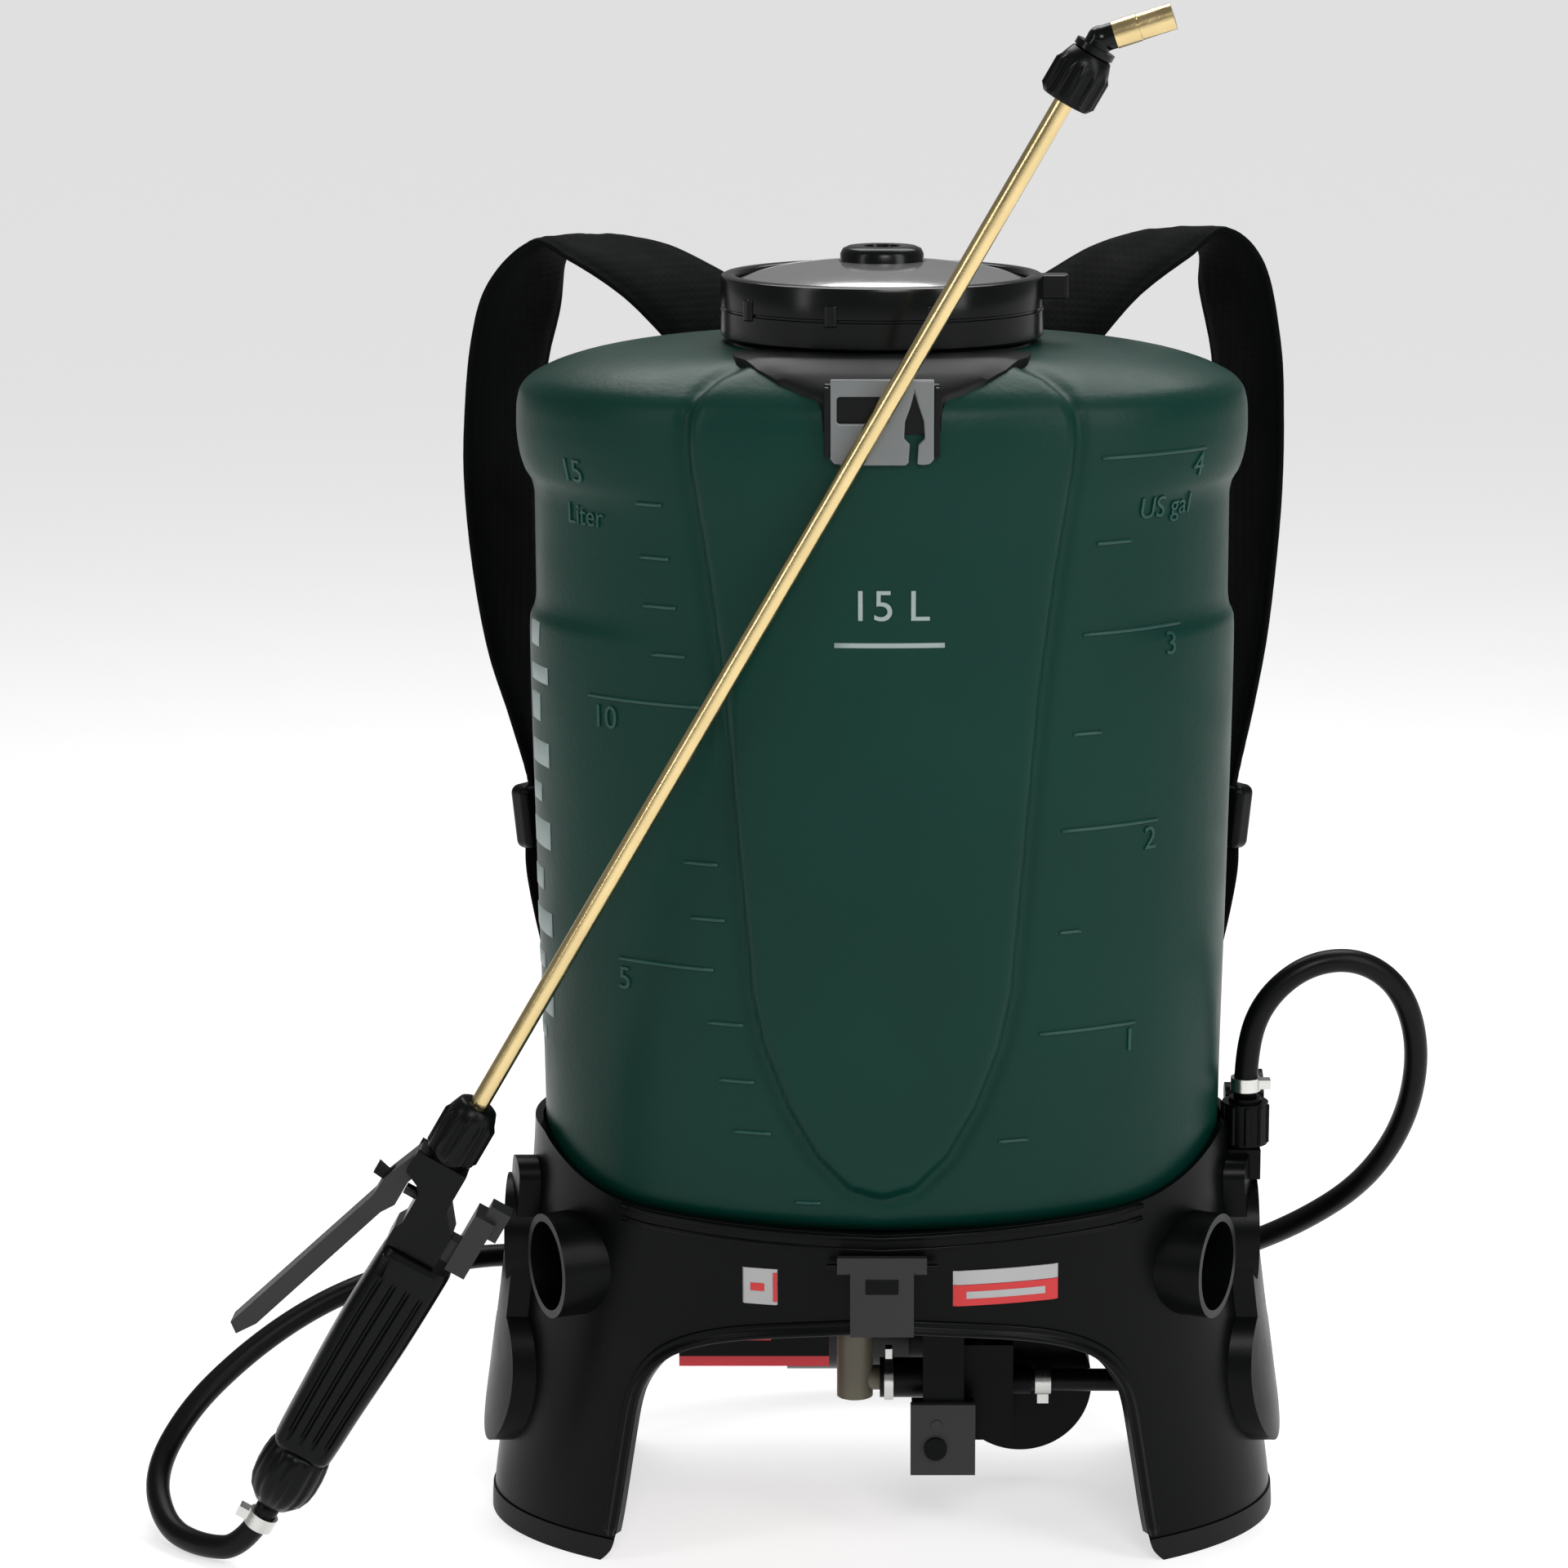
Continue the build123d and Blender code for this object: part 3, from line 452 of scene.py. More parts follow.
LEFT_MARKS = [
    (468.3, -100, -89), (445.8, -99, -86.5), (425.3, -98, -84), (405, -96, -82), (384, -124, -75),
    (317.1, -83, -69),
    (293.2, -80.5, -66), (271.2, -112, -71), (248.1, -73.5, -58.5), (223.4, -69, -54), (201.2, -63, -47),
    (171.5, -37, -26),
]
RIGHT_MARKS = [
    (488.3, 91, 136), (452.3, 87, 102), (414.3, 82.5, 125.5), (372.2, 80, 92), (331.1, 75.5, 117),
    (287.1, 75, 84),
    (243.5, 66.5, 108), (197.6, 49.5, 62),
]
surface_strip("level_marks", [(x0, x1, z, 1.6) for z, x0, x1 in LEFT_MARKS + RIGHT_MARKS], 0, GREEN_PAINTED_HIGHLIGHT,
    0.8)
side_bars = []
for index, (z, high) in enumerate(((404, 13), (387, 9), (372, 15), (352, 13), (334, 10), (316, 15),
    (295, 12), (276, 13), (258, 9), (240, 14), (225, 7))):
    side_bars.append((-151.2, -147.5 + 4 * (index % 2), z, high))
surface_strip("side_print", side_bars, 0, INK, 0.4)


def lettering(name, words, material, out=0.55):
    """Scale numbers laid on the tank's surface: each is (text, x, z, height)."""
    points, faces = [], []
    for text, x0, z0, high in words:
        data = bpy.data.curves.new("words", "FONT")
        data.body = text
        data.size = high * 1.4
        data.align_x = "CENTER"
        data.extrude = 0.35
        holder = bpy.data.objects.new("words", data)
        bpy.context.scene.collection.objects.link(holder)
        bpy.context.view_layer.update()
        mesh = bpy.data.meshes.new_from_object(holder)
        bpy.data.objects.remove(holder)
        base = len(points)
        t0 = surface_angle(x0, z0)
        a, b = curve_at(TANK, z0)
        radius = math.hypot(a * math.cos(t0), b * math.sin(t0))
        for v in mesh.vertices:
            t = t0 + v.co.x / radius
            points.append(tank_point(t, z0 + v.co.y, v.co.z + out - 0.35))
        faces += [tuple(base + i for i in f.vertices) for f in mesh.polygons]
    return piece(name, points, faces, "root", material, smooth=False)


lettering("scale_numbers", [
    ("15", -129, 474.5, 10), ("Liter", -124.5, 456, 9), ("10", -117, 371, 10), ("5", -109.5, 258, 10),
    ("4", 132, 477, 10), ("US gal", 118, 461, 9), ("3", 122, 402, 10), ("2", 113.5, 319, 10),
    ("1", 105.5, 231.5, 10),
], GREEN_PAINTED_HIGHLIGHT, out=0.8)
lettering("capacity_print", [("15 L", 3, 424, 13)], INK, out=0.5)
surface_strip("capacity_bar", [(-19, 25, 413.5, 2.6)], 0, INK, 0.4)

# ---- neck collar, lid ----
COLLAR = [(61.2, 526.5), (67, 526.5), (67.3, 527.6), (66.4, 529.3), (65.2, 529.7), (61.2, 529.7)]
points, faces = turned(COLLAR, 144, closed=True)
by_angle(piece("neck_flange", points, faces, "root", GLOSS), 40)
APRON = [(-50, 62.5), (-60, 62), (-68, 60.7), (-78, 56.5), (-88, 51.3), (-98, 42), (-104, 33),
    (-106.5, 27.3), (-108.5, 25), (-112, 24)]


def apron_top(x, y):
    """Height of the apron's upper face: the tank's shoulder, its panel, and the apron's own thickness."""
    low, high = 480.0, 528.0
    for _ in range(26):
        mid = (low + high) / 2
        a, b = curve_at(TANK, mid)
        if (x / (a + 6.2)) ** 2 + (y / (b + 6.2)) ** 2 > 1:
            high = mid
        else:
            low = mid
    return min(529.5, low + 4.5 * min(1, max(0, (low - 500) / 20)))


rows = []
for y, half in [(y, float(np.interp(-y, [-p[0] for p in APRON],
    [p[1] for p in APRON]))) for y in np.linspace(-50, -112, 48)]:
    row = []
    for k in range(25):
        u = -1 + 2 * k / 24
        row.append((half * u, float(y), apron_top(half * u, y) - 1.6 * abs(u) ** 10))
    under = [(x, y2, z - 7) for x, y2, z in row[::-1]]
    rows.append(row + under)
points, faces = grid(rows)
apron = piece("neck_apron", points, faces, "root", SATIN, ("neck_collar",))
by_angle(apron, 45)


RING = [
    (62.0, 549), (61.4, 530.4), (62, 530), (68.6, 530), (69.5, 531), (69.5, 541.6), (68.8, 542.0),
    (68.8, 542.8), (69.5, 543.2),
    (69.5, 554.6), (69.0, 556), (67.8, 556.6), (64.4, 556.6), (63.2, 556), (62.6, 555), (62.6, 554.4),
    (64.4, 554.4), (64.4, 549),
]
points, faces = turned(RING, 180, closed=True)
ring = piece("screw_ring", points, faces, "lid_ring", GLOSS, ("lid_ring",))
by_angle(ring, 40)
lugs = []
for degrees, reach, half, low, high in ((0, 80, 7, 546, 556), (72, 71.2, 3, 540, 549),
    (144, 71.2, 3, 540, 549), (216, 71.2, 3, 540, 549),
                                        (252, 71.2, 3, 540, 549), (288, 71.2, 3, 540, 549)):
    turn = Matrix.Rotation(math.radians(degrees), 4, "Z")
    corners = [(68.6, -half), (reach - 1.5, -half), (reach, -half + 1.5), (reach, half - 1.5),
        (reach - 1.5, half), (68.6, half)]
    rows = [[tuple(turn @ Vector((x, y, z))) for x, y in corners] for z in (low, high)]
    p, f = grid(rows)
    lugs.append((p, f))
points, faces = [], []
for p, f in lugs:
    faces += [tuple(i + len(points) for i in g) for g in f]
    points += p
bevel(piece("ring_lugs", points, faces, "lid_ring", GLOSS, smooth=False), 0.8)

DOME = [
    (4.1, 553.2), (40, 550.9), (57, 550.6), (63.6, 550.6), (64, 551), (64, 552.9), (63.4, 553.4),
    (60, 554.5), (54, 556.8), (44, 559.1),
    (33, 560.6), (26, 561.4), (18.9, 562), (18.6, 561.6), (18.5, 558.1), (4.1, 558.1),
]
points, faces = turned(DOME, 128, closed=True)
by_angle(piece("lid_cap", points, faces, "lid", LID, ("lid_dome",)), 50)

KNOB = [(3.9, 545), (3.9, 558.2), (18, 558.2), (18, 565), (16.8, 567.2), (14.5, 568.2), (8, 568.2),
    (7, 566)]
points, faces = turned(KNOB, 96)
by_angle(piece("vent_cap", points, faces, "vent_knob", GLOSS, ("vent_knob",)), 50)

# ---- base shell ----
BASE = [(0, 176, 104), (52, 170, 105), (103, 163, 107), (150, 157, 109), (190, 154.5, 109.5)]
ARCH = [(150, -20), (130, -5), (121.5, 1.5), (116.6, 9), (109.5, 55), (106, 76), (102, 86), (94, 97),
    (80, 105), (60, 110.5), (30, 114), (0, 116)]


def base_point(t, z, lift=0.0):
    a, b = curve_at(BASE, z)
    x, y = a * math.sin(t), -b * math.cos(t)
    over = y - 90
    if over > 0:
        y = 90 + 8 * math.tanh(over / 8)
    normal = Vector((x / a**2, y / b**2, 0)).normalized()
    return (x + normal.x * lift, y + normal.y * lift, z)


def smooth_line(points, steps=6):
    """A rounded line through corner points."""
    return [p for p in spline([(x * MM, 0, z * MM) for x, z in points], 3, steps)]


half_arch = [(p.x / MM, p.z / MM) for p in smooth_line(ARCH)]
arch_outline = half_arch + [(-x, z) for x, z in half_arch[::-1] if x > 0.01]


def prism(name, outline, y0, y1):
    rows = [[(x, y, z) for x, z in outline] for y in (y0, y1)]
    points, faces = grid(rows)
    mesh = bpy.data.meshes.new(name)
    mesh.from_pydata([Vector(p) * MM for p in points], [], faces)
    cutter = bpy.data.objects.new(name, mesh)
    bpy.context.scene.collection.objects.link(cutter)
    bm_fix(cutter)
    return cutter


def carve(thing, cutters):
    """Cuts the other solids out of a piece and applies the result."""
    for cutter in cutters:
        mod = thing.modifiers.new("cut", "BOOLEAN")
        mod.object = cutter
        mod.operation = "DIFFERENCE"
        mod.solver = "EXACT"
    bpy.context.view_layer.update()
    done = bpy.data.meshes.new_from_object(thing.evaluated_get(bpy.context.evaluated_depsgraph_get()))
    thing.modifiers.clear()
    thing.data = done
    for cutter in cutters:
        bpy.data.objects.remove(cutter)
    return thing


def wall(name, low, high, steps, outer, inner, material, replaces=()):
    ring = [2 * math.pi * k / 240 for k in range(240)]
    levels = [low + (high - low) * k / steps for k in range(steps + 1)]
    rows = [[base_point(t, z, outer) for t in ring] for z in levels]
    rows += [[base_point(t, z, inner) for t in ring] for z in levels[::-1]]
    rows.append(rows[0])
    points, faces = grid(rows, True, False)
    return piece(name, points, faces, "root", material, replaces)


TONGUE_LINE = [(-21, 524), (-21, 500), (-21, 491.5), (-19.5, 489.6), (-15, 489), (9.5, 489), (10.8, 490),
    (11.4, 498), (12, 499), (13.2, 498),
               (13.4, 492), (14.6, 489.4), (17, 489.2), (19.6, 489.6), (21.2, 491.5), (21.2, 524)]
points, faces = grid([[(x, y, z) for x, z in TONGUE_LINE] for y in (-116.4, -113)])
tongue = piece("lance_tongue", points, faces, "root", TONGUE)
WINDOW = [(-18.4, 506.8), (-17.6, 506), (1.8, 506), (2.6, 506.8), (2.6, 516.2), (1.8, 517), (-17.6, 517),
    (-18.4, 516.2)]
KEYHOLE = [(9, 500), (11.5, 497.5), (12.4, 480), (13.8, 480), (14.8, 497.5), (17.4, 500), (17, 507),
    (15, 513), (13.2, 519), (11.6, 513), (9.4, 507)]
carve(tongue, [prism("window", WINDOW, -125, -105), prism("keyhole", KEYHOLE, -125, -105)])
bevel(by_angle(tongue, 40), 0.9, 3, 40)
points, faces = [], []
for x0, x1 in ((-23.6, -21.2), (21.4, 23.6)):
    corners = [(x0, -116.2), (x0, -109), (x1, -109), (x1, -116.2)]
    p, f = grid([[(x, y, z) for x, y in corners] for z in (492, 496, 508, 521)])
    faces += [tuple(i + len(points) for i in g) for g in f]
    points += p
# A dark sheet behind the tongue's window and keyhole: painted shade, so that they show dark instead of the
# green tank.
corners = [(-23.6, -113.2), (-23.6, -110.4), (23.6, -110.4), (23.6, -113.2)]
p, f = grid([[(x, y, z) for x, y in corners] for z in (501, 522)])
faces += [tuple(i + len(points) for i in g) for g in f]
points += p
bevel(piece("tongue_flanges_and_shade_sheet", points, faces, "root", GLOSS, smooth=False), 0.6)

shell = wall("base_wall", 11, 187, 40, 0, -3.5, BLACK, ("base_shell",))
RIM = [(200, 178), (152, 186), (145, 179), (131, 170), (112, 163.5), (78, 162.3), (0, 159.6)]
rim_half = [(p.x / MM, p.z / MM) for p in smooth_line(RIM)]
rim_line = rim_half + [(-x, z) for x, z in rim_half[::-1] if x > 0.01]
top_line = rim_line + [(-200, 300), (200, 300)]
socket_cutters = []
for side in (-1, 1):
    axis = Vector((side * math.cos(math.radians(25)), -math.sin(math.radians(25)), 0))
    place = axis.to_track_quat("Z", "Y").to_matrix().to_4x4()
    place.translation = Vector((side * 139, -58, 130.5))
    points, faces = turned([(23, -30), (23, 40)], 64)
    mesh = bpy.data.meshes.new("socket_cut")
    mesh.from_pydata([place @ Vector(p) * MM for p in points], [], faces)
    cutter = bpy.data.objects.new("socket_cut", mesh)
    bpy.context.scene.collection.objects.link(cutter)
    bm_fix(cutter)
    socket_cutters.append(cutter)
pipe_points, pipe_faces = turned([(11.8, 165), (11.8, 230)], 48)
pipe_cut = bpy.data.meshes.new("pipe_cut")
pipe_cut.from_pydata([(Vector(p) + Vector((161.5, -8, 0))) * MM for p in pipe_points], [], pipe_faces)
pipe_cutter = bpy.data.objects.new("pipe_cut", pipe_cut)
bpy.context.scene.collection.objects.link(pipe_cutter)
bm_fix(pipe_cutter)
carve(shell, [prism("arch_front", arch_outline, -160, -50), prism("arch_back", arch_outline, 55, 160),
              prism("top", top_line, -140, 140), *socket_cutters, pipe_cutter])
bevel(by_angle(shell, 40), 0.8, 2, 40)
deck_points, deck_faces = grid([[base_point(2 * math.pi * k / 160, z,
    -3.4) for k in range(160)] for z in (149, 153)])
bevel(piece("tank_deck", deck_points, deck_faces, "root", BLACK, smooth=False), 0.5)
foot = wall("foot_rims", 0, 10.5, 6, 0.8, -5.0, FOOT, ("feet",))
carve(foot, [prism("foot_front", arch_outline, -160, -50), prism("foot_back", arch_outline, 55, 160)])
bevel(by_angle(foot, 40), 2.6, 4, 40)


def strip_on_base(name, line, outs, material=BLACK):
    """A moulded bead on the base, along (x, z) points at the front or back, with (across, out) corners."""
    rows = []
    for index, (x, z, back) in enumerate(line):
        x1, z1, _ = line[min(index + 1, len(line) - 1)]
        x0, z0, _ = line[max(index - 1, 0)]
        way = Vector((x1 - x0, z1 - z0)).normalized()
        ring = []
        for across, out in outs:
            px, pz = x + way.y * across, z - way.x * across
            a, _ = curve_at(BASE, pz)
            t = math.asin(max(-1, min(1, px / a)))
            ring.append(base_point(math.pi - t if back else t, pz, out))
        rows.append(ring)
    points, faces = grid(rows)
    return piece(name, points, faces, "root", material)


for back in (0, 1):
    trimmed = [(x, z, back) for x, z in arch_outline if z >= 12]
    side = "back" if back else "front"
    strip_on_base("arch_lip_" + side, trimmed,
        [(0.2, -5), (0.2, 2.6), (1.2, 3.4), (2.6, 3.0), (3.4, 1.4), (4.6, 1.3), (5.6, 1.8), (6.4, 0),
        (6.4, -3)])
for index, (below, out) in enumerate(((1.6, 1.6), (7.2, 1.0))):
    line = [(x, z - below, 0) for x, z in rim_line if abs(x) < 113]
    strip_on_base(f"rim_bead_{index}", line,
        [(-1.3, -0.5), (-0.8, out * 0.8), (0, out), (0.8, out * 0.8), (1.3, -0.5)])


def base_patch(name, x0, x1, z0, z1, out, material):
    rows = []
    for z in (z0, z0 + 0.01, z1 - 0.01, z1):
        row = []
        for k in range(13):
            x = x0 + (x1 - x0) * k / 12
            a, _ = curve_at(BASE, z)
            edge = z in (z0, z1) or k in (0, 12)
            row.append(base_point(math.asin(x / a), z, -0.5 if edge else out))
        rows.append(row)
    points, faces = grid(rows, False, False)
    return by_angle(piece(name, points, faces, "root", material), 40)


base_patch("plate_left", -60, -44, 127, 143, 0.7, PLATE)
base_patch("plate_left_edge", -46.5, -44.6, 128.5, 141.5, 0.85, PLATE_RED)
base_patch("plate_left_mark", -56.5, -49.5, 133, 136.5, 0.85, PLATE_RED)
base_patch("plate_right_top", 28.5, 77, 136.8, 143, 0.7, PLATE)
plates = base_patch("plate_right_red", 28.5, 77, 127.2, 136.6, 0.7, PLATE_RED)
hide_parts("blank_plates")
base_patch("plate_right_bar", 33, 72.5, 130.4, 133.6, 0.85, PLATE)

# A black patch standing out on the latch: painted shade in place of its recess.
corners = [(-7, 136), (7, 136), (7, 142.5), (-7, 142.5)]
points, faces = grid([[(x, y, z) for x, z in corners] for y in (-117.9, -117)])
bevel(piece("latch_recess_painted_shade", points, faces, "front_latch", BLACK, smooth=False), 0.3)

# ---- straps, webbing and back pad ----
STRAP_RIGHT = [
    ((50, 104, 503), (0.8, -0.3, -0.5), 56), ((66, 110, 516), (0.5, -0.6, -0.6), 56),
    ((81, 116, 527), (0.2, -0.8, -0.6), 57),
    ((106, 126, 546), (0.1, -0.9, -0.4), 57), ((132, 134, 558), (0, -1, -0.2), 57),
    ((149, 138, 561), (0.15, -1, 0.15), 57),
    ((160, 135, 544), (0.46, -0.87, 0.2), 57), ((167, 129, 512), (0.48, -0.87, 0.1), 57),
    ((169, 126, 480), (0.47, -0.88, 0.1), 57),
    ((169, 121, 447), (0.45, -0.89, 0.1), 57), ((167, 112, 412), (0.44, -0.9, 0.1), 54),
    ((165, 104, 380), (0.42, -0.9, 0.1), 47),
    ((161, 96, 350), (0.4, -0.9, 0.1), 40), ((156, 90, 322), (0.4, -0.9, 0.15), 34),
    ((154, 87, 308), (0.4, -0.9, 0.15), 30),
]
STRAP_LEFT = [
    ((-50, 104, 503), (-0.8, -0.3, -0.5), 56), ((-65, 110, 516), (-0.5, -0.6, -0.6), 56),
    ((-79, 116, 527), (-0.2, -0.76, -0.6), 57),
    ((-107, 126, 546), (-0.1, -0.9, -0.4), 57), ((-135, 134, 556), (0, -1, -0.15), 57),
    ((-151, 138, 556), (-0.2, -1, 0.15), 57),
    ((-164, 135, 534), (-0.54, -0.83, 0.15), 57), ((-171, 131, 510), (-0.56, -0.82, 0.1), 57),
    ((-175, 126, 473), (-0.53, -0.85, 0.05), 57),
    ((-175, 121, 444), (-0.51, -0.86, 0.05), 57), ((-172, 112, 407), (-0.5, -0.86, 0.1), 54),
    ((-167, 104, 372), (-0.5, -0.86, 0.1), 47),
    ((-161, 96, 345), (-0.43, -0.9, 0.1), 40), ((-155, 90, 320), (-0.42, -0.9, 0.15), 34),
    ((-154, 87, 308), (-0.4, -0.9, 0.15), 30),
]
WEBBING = [((153, 82, 290), (0.8, -0.6, 0), 25), ((152.5, 81, 274), (0.8, -0.6, 0), 25),
    ((146, 82, 240), (0.8, -0.6, 0), 25),
           ((136, 84, 206), (0.8, -0.6, 0), 25), ((127, 86, 179), (0.8, -0.6, 0), 25)]


def ribbon(name, stops, profile, side, body, material, replaces=(), finer=10):
    """A flat band through the stops. profile gives (across -1..1, out in mm) corners of its section."""
    centres = [Vector(s[0]) for s in stops]
    ways = [Vector(s[1]).normalized() for s in stops]
    widths = [s[2] for s in stops]
    rows = []
    count = (len(stops) - 1) * finer

    def cat(values, u):
        i = min(int(u), len(values) - 2)
        t = u - i
        p0, p1, p2, p3 = values[max(i - 1, 0)], values[i], values[i + 1], values[min(i + 2,
            len(values) - 1)]
        return (p1 * (1 + t * t * (2 * t - 3)) + p2 * (t * t * (3 - 2 * t))
                + (p2 - p0) * (0.5 * (t**3 - 2 * t**2 + t)) + (p3 - p1) * (0.5 * (t**3 - t**2)))

    path = [cat(centres, k / finer) for k in range(count + 1)]
    for k, centre in enumerate(path):
        u = k / finer
        along = (path[min(k + 1, count)] - path[max(k - 1, 0)]).normalized()
        across = cat(ways, u)
        across = (across - along * across.dot(along)).normalized()
        out = along.cross(across)
        width = cat(widths, u)
        pucker = 1 + 0.03 * math.sin(k * 2.1)
        row = [centre + across * (a * width / 2) + out * (o * pucker) for a, o in profile]
        rows.append([(side * p.x, p.y, p.z) for p in row])
    points, faces = grid(rows)
    return piece(name, points, faces, body, material, replaces)


PAD_PROFILE = [(-1, -0.8), (-0.94, -1.3), (-0.9, -1.1), (-0.84, -2.4), (-0.6, -3.3), (0, -3.5), (0.6, -3.3),
    (0.84, -2.4), (0.9, -1.1), (0.94, -1.3),
               (1, -0.8), (1, 0.8), (0.94, 1.3), (0.9, 1.1), (0.84, 2.4), (0.6, 3.3), (0, 3.5), (-0.6, 3.3),
               (-0.84, 2.4), (-0.9, 1.1), (-0.94, 1.3), (-1, 0.8)]
WEB_PROFILE = [(-1, -0.7), (-0.95, -1.2), (0.95, -1.2), (1, -0.7), (1, 0.7), (0.95, 1.2), (-0.95, 1.2),
    (-1, 0.7)]
for side, label, stops in ((1, "right", STRAP_RIGHT), (-1, "left", STRAP_LEFT)):
    pad = ribbon("strap_" + label, stops, PAD_PROFILE, 1, "root", FABRIC, ("strap_pads",))
    ribbon("webbing_" + label, WEBBING, WEB_PROFILE, side, "root", WEB, ("strap_webbing",))


def cushion():
    """The back pad: foam blown up a little by a cloth simulation, then pressed with sewn channels."""
    rows = []
    for y, inset in ((91.5, 3), (93, 0), (97.5, 0), (99, 3)):
        ring = []
        for k in range(80):
            t = 2 * math.pi * k / 80
            c, s = math.cos(t), math.sin(t)
            x = (102 - inset) * math.copysign(abs(c) ** 0.35, c)
            z = 350 + (97 - inset) * math.copysign(abs(s) ** 0.35, s)
            ring.append((x, y, z))
        rows.append(ring)
    points, faces = grid(rows)
    pad = piece("back_cushion", points, faces, "root", FABRIC, ("back_pad",))
    remesh = pad.modifiers.new("remesh", "REMESH")
    remesh.mode = "VOXEL"
    remesh.voxel_size = 0.0045
    bpy.context.view_layer.update()
    pad.data = bpy.data.meshes.new_from_object(pad.evaluated_get(bpy.context.evaluated_depsgraph_get()))
    pad.modifiers.clear()
    start = np.array([v.co for v in pad.data.vertices], float)
    moved = start
    cloth = pad.modifiers.new("cloth", "CLOTH")
    cloth.settings.use_pressure = True
    cloth.settings.uniform_pressure_force = 4
    cloth.settings.effector_weights.gravity = 0
    for step in range(1, 15):
        bpy.context.scene.frame_set(step)
    result = bpy.data.meshes.new_from_object(pad.evaluated_get(bpy.context.evaluated_depsgraph_get()))
    moved = np.array([v.co for v in result.vertices], float)
    pad.modifiers.clear()
    bpy.context.scene.frame_set(1)
    shift = moved - start
    size = np.linalg.norm(shift, axis=1, keepdims=True)
    shift = shift * np.minimum(1, 0.006 / np.maximum(size, 1e-9))
    done = start + shift
    channel = np.exp(-((np.abs(done[:, 0]) - 0.045) / 0.004) ** 2) + np.exp(-((done[:,
        2] - 0.35) / 0.004) ** 2)
    out = done[:, 1] > 0.095
    done[:, 1] -= np.where(out, 0.0035 * np.minimum(channel, 1), 0)
    done[:, 1] = np.clip(done[:, 1], 0.0884, 0.1045)
    pad.data.vertices.foreach_set("co", done.astype(np.float32).ravel())
    pad.data.update()
    pad.data.shade_smooth()
    pad.data.materials.clear()
    pad.data.materials.append(FABRIC)


cushion()

# ---- gun ----
GUN_NUT = Vector((-170.5, -100, 214.7))
LANCE_DIR = Vector((0.4978, -0.0655, 0.8648)).normalized()
GUN_SIDE = Vector((-LANCE_DIR.z, 0, LANCE_DIR.x)).normalized()
GUN_FRONT = LANCE_DIR.cross(GUN_SIDE)


def gun_point(x, y, z):
    return tuple(GUN_NUT + GUN_SIDE * x + GUN_FRONT * y + LANCE_DIR * z)


GRIP = [(-177, -21.6, 4.0, 11.5), (-175, -22.4, 4.9, 12.6), (-150, -23.6, 5.8, 12.9),
    (-122, -25.2, 6.6, 13), (-110, -25.8, 6.7, 13),
        (-90, -26.3, 6.2, 13), (-75, -26.5, 5.5, 12.9), (-72.5, -25.8, 5.0, 12)]
rows = []
for step in range(120):
    z = -177 + 104.5 * step / 119
    low, high, deep = curve_at(GRIP, z)
    mid, half = (low + high) / 2, (high - low) / 2
    row = []
    for k in range(160):
        front = k < 80
        across = -1 + 2 * (k % 80) / 79
        across = across if front else -across
        x = half * across
        y = deep * (1 - abs(across) ** 5) ** 0.35 * (1 if front else -1)
        on = min(1, max(0, (z + 172) / 6)) * min(1, max(0, (-82 - z) / 6))
        groove = sum(1.5 * on * math.exp(-((x - half * at) / 1.0) ** 4) for at in (-0.6, -0.2, 0.2, 0.6))
        row.append((mid + x, y - math.copysign(groove, y), z))
    rows.append(row)
points, faces = grid(rows)
grip = piece("pistol_grip", points, faces, "gun", GUN_BLACK, ("gun_grip",),
    to_world=gun_point)
slit_points, slit_faces = grid([[(x, y, z) for x,
    z in [(0.2, -76.5), (3.8, -76.5), (2.6, -85.5), (-0.9, -85.5)]] for y in (-20, 20)])
slit_mesh = bpy.data.meshes.new("slit")
slit_mesh.from_pydata([Vector(gun_point(*p)) * MM for p in slit_points], [], slit_faces)
slit = bpy.data.objects.new("slit", slit_mesh)
bpy.context.scene.collection.objects.link(slit)
bm_fix(slit)
carve(grip, [slit])
by_angle(grip, 50)

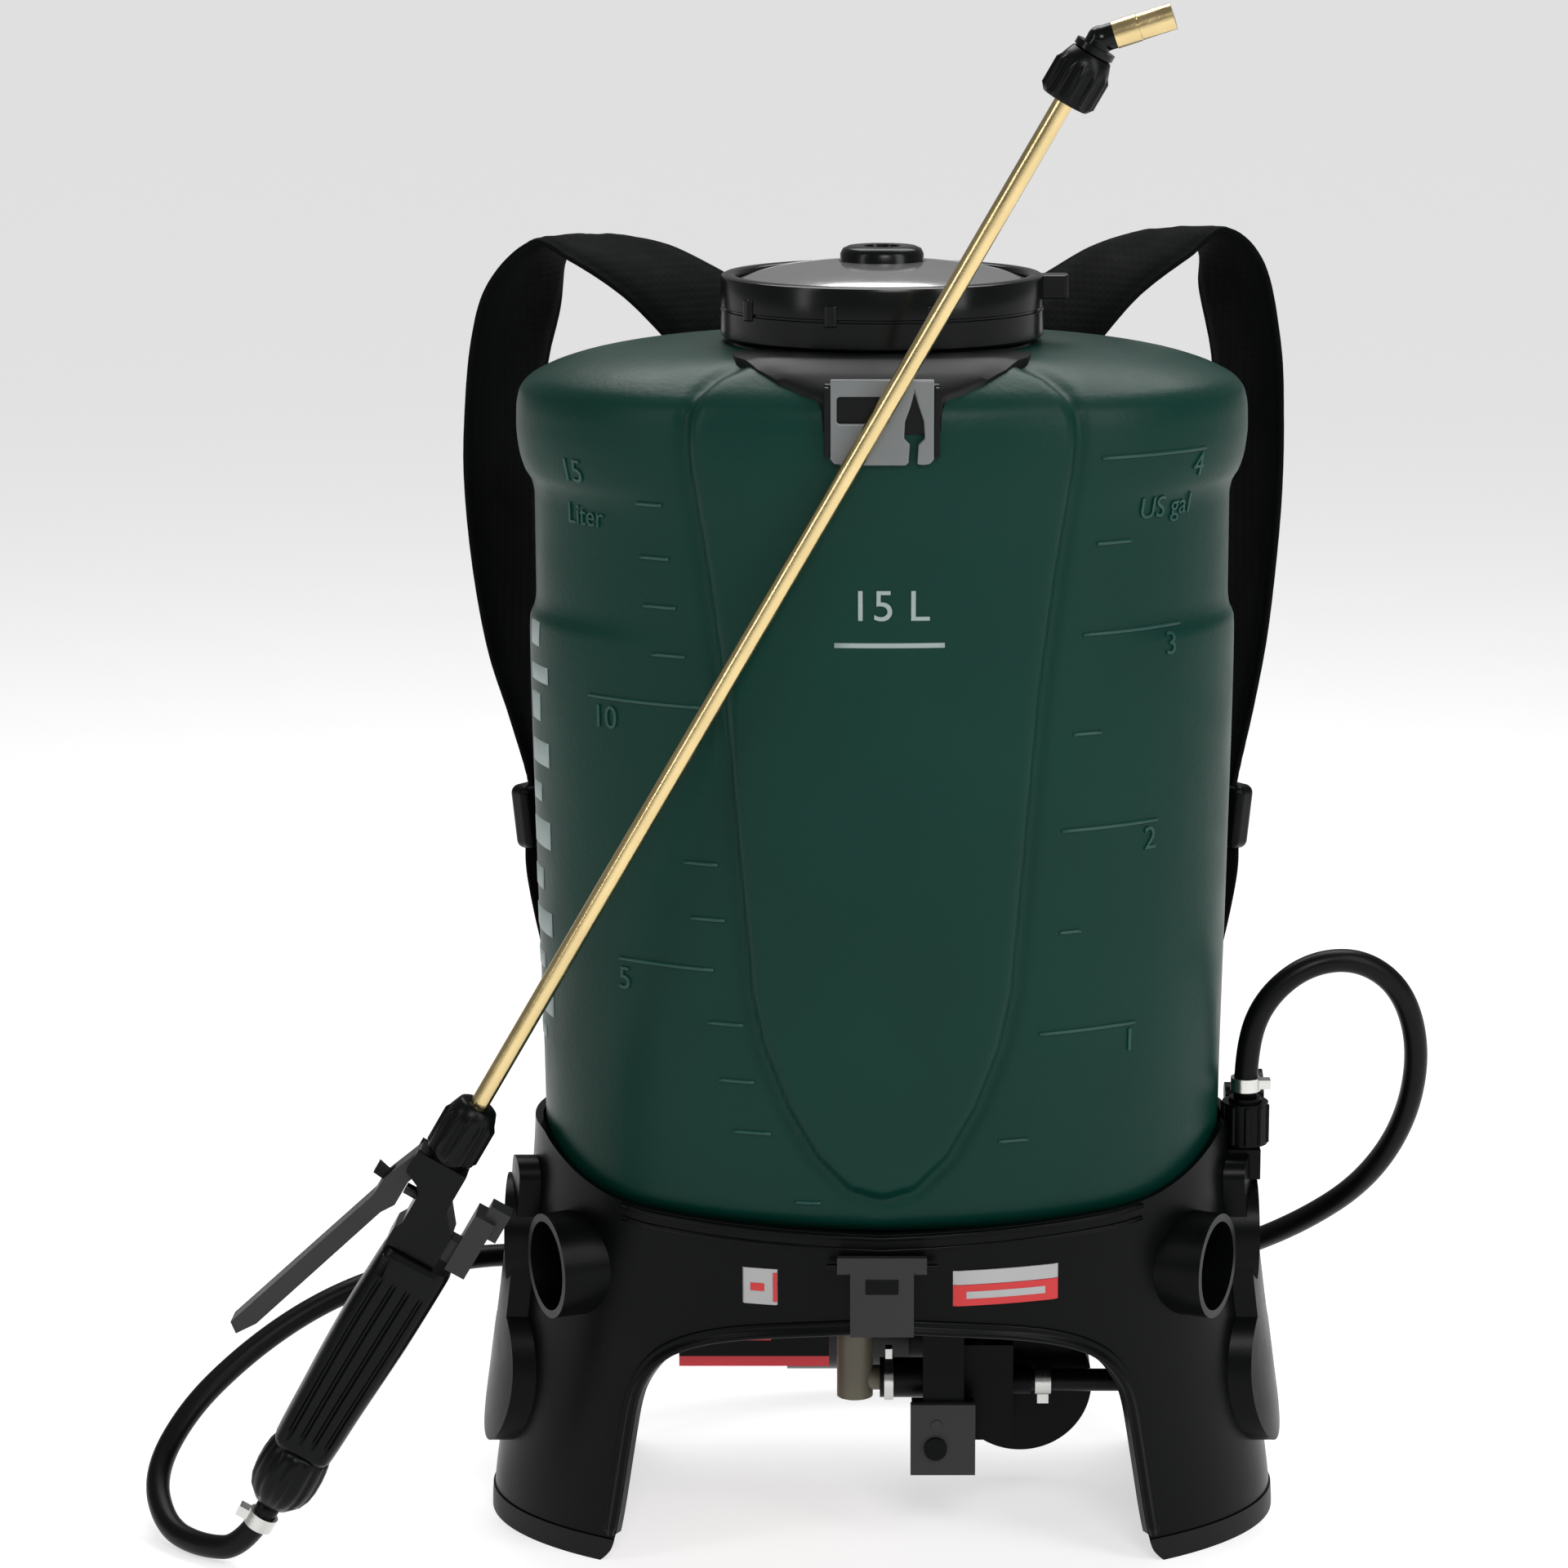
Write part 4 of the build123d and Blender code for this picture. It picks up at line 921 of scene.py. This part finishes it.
TAIL = [(5.6, -176.4), (12, -176.4), (13.4, -177.6), (14.4, -181), (14.9, -186), (14.9, -192), (14.2, -197),
    (12.4, -201.4), (9.6, -204.6),
        (8.4, -206), (5.6, -206)]
points, faces = turned(TAIL, 120, closed=True, ribs=14, rib=-0.8, rib_zone=(-201.4, -181))
piece("tail_nut", [(x - 9, y, z) for x, y, z in points], faces, "gun_tail_nut", GUN_BLACK,
    ("gun_tail_nut",), to_world=gun_point)
for label, body, low, high, node in (("lance_lock_nut", "lance_nut", -27, 0, "lance_nut"),
    ("nozzle_lock_nut", "nozzle_nut", 488, 510, "nozzle_nut")):
    bore = 8.7 if node == "lance_nut" else 4.3
    profile = [(bore, low), (9.8, low), (10.6, low + 1), (10.6, high - 6), (9.9, high - 4),
        (8.6, high - 0.8), (7.4, high), (4.35, high), (4.35, high - 6)]
    levels = [profile[0], profile[1], profile[2], (10.6, low + 2.5), (10.6, high - 8), profile[3],
        *profile[4:]]
    points, faces = turned(levels, 160, closed=True, ribs=12, rib=1.3, rib_zone=(low + 2, high - 7))
    by_angle(piece(label, points, faces, body, GUN_BLACK, (node,), to_world=gun_point), 40)

# ---- CAD pieces that keep their shape: a small bevel and a material each ----
LOOKS = {
    "battery_button": RED, "battery_cover": RED, "battery_dock": BLACK, "battery_pack": BLACK,
    "control_box": BLACK, "control_cover": GREY, "filler_strainer": MESH_WHITE, "front_latch": GREY,
    "gun_hanger_clip": GREY,
    "gun_hose_clamp": CLAMP, "gun_pipe": GUN_BLACK, "gun_valve_body": GUN_BLACK, "hose_clamps": CLAMP,
    "lance_elbow": GLOSS,
    "lance_tube": BRASS, "latch_pin": BLACK, "lid_gasket": RUBBER, "nozzle_body": BRASS,
    "nozzle_tip": BRASS, "outlet_pipe": BLACK,
    "outlet_union_nut": BLACK, "power_button": BLACK, "pump_bolts": STEEL, "pump_case": BLACK,
    "pump_diaphragm": RUBBER, "pump_head": BLACK,
    "pump_hoses": RUBBER, "pump_motor": MOTOR, "pump_outlet_fitting": BLACK, "pump_shaft": STEEL,
    "regulator_body": BLACK,
    "regulator_knob": BLACK, "side_brackets": BLACK, "side_sockets": BLACK, "strap_anchors": BLACK,
    "strap_buckles": BLACK,
    "suction_filter": MESH_WHITE, "tank_outlet_fitting": OLIVE, "trigger": GREY, "trigger_lock": GUN_BLACK,
    "trigger_pin": GUN_BLACK,
    "valve_pin": MOTOR, "valve_spring": STEEL,
}
BEVELS = {"side_brackets": 1.6, "battery_pack": 1.5, "battery_cover": 1.5, "strap_buckles": 2.0,
    "gun_valve_body": 1.2, "trigger": 1.6,
          "regulator_knob": 1.5, "lance_tube": 0, "valve_spring": 0, "pump_shaft": 0, "hose_clamps": 0.3,
          "gun_hose_clamp": 0.3, "lid_gasket": 0, "suction_filter": 0.2, "filler_strainer": 0.2}
for name, material in LOOKS.items():
    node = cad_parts[name]
    node.data.materials.clear()
    node.data.materials.append(material)
    by_angle(node, 30)
    width = BEVELS.get(name, 0.7)
    if width:
        bevel(node, width, 2, 32)
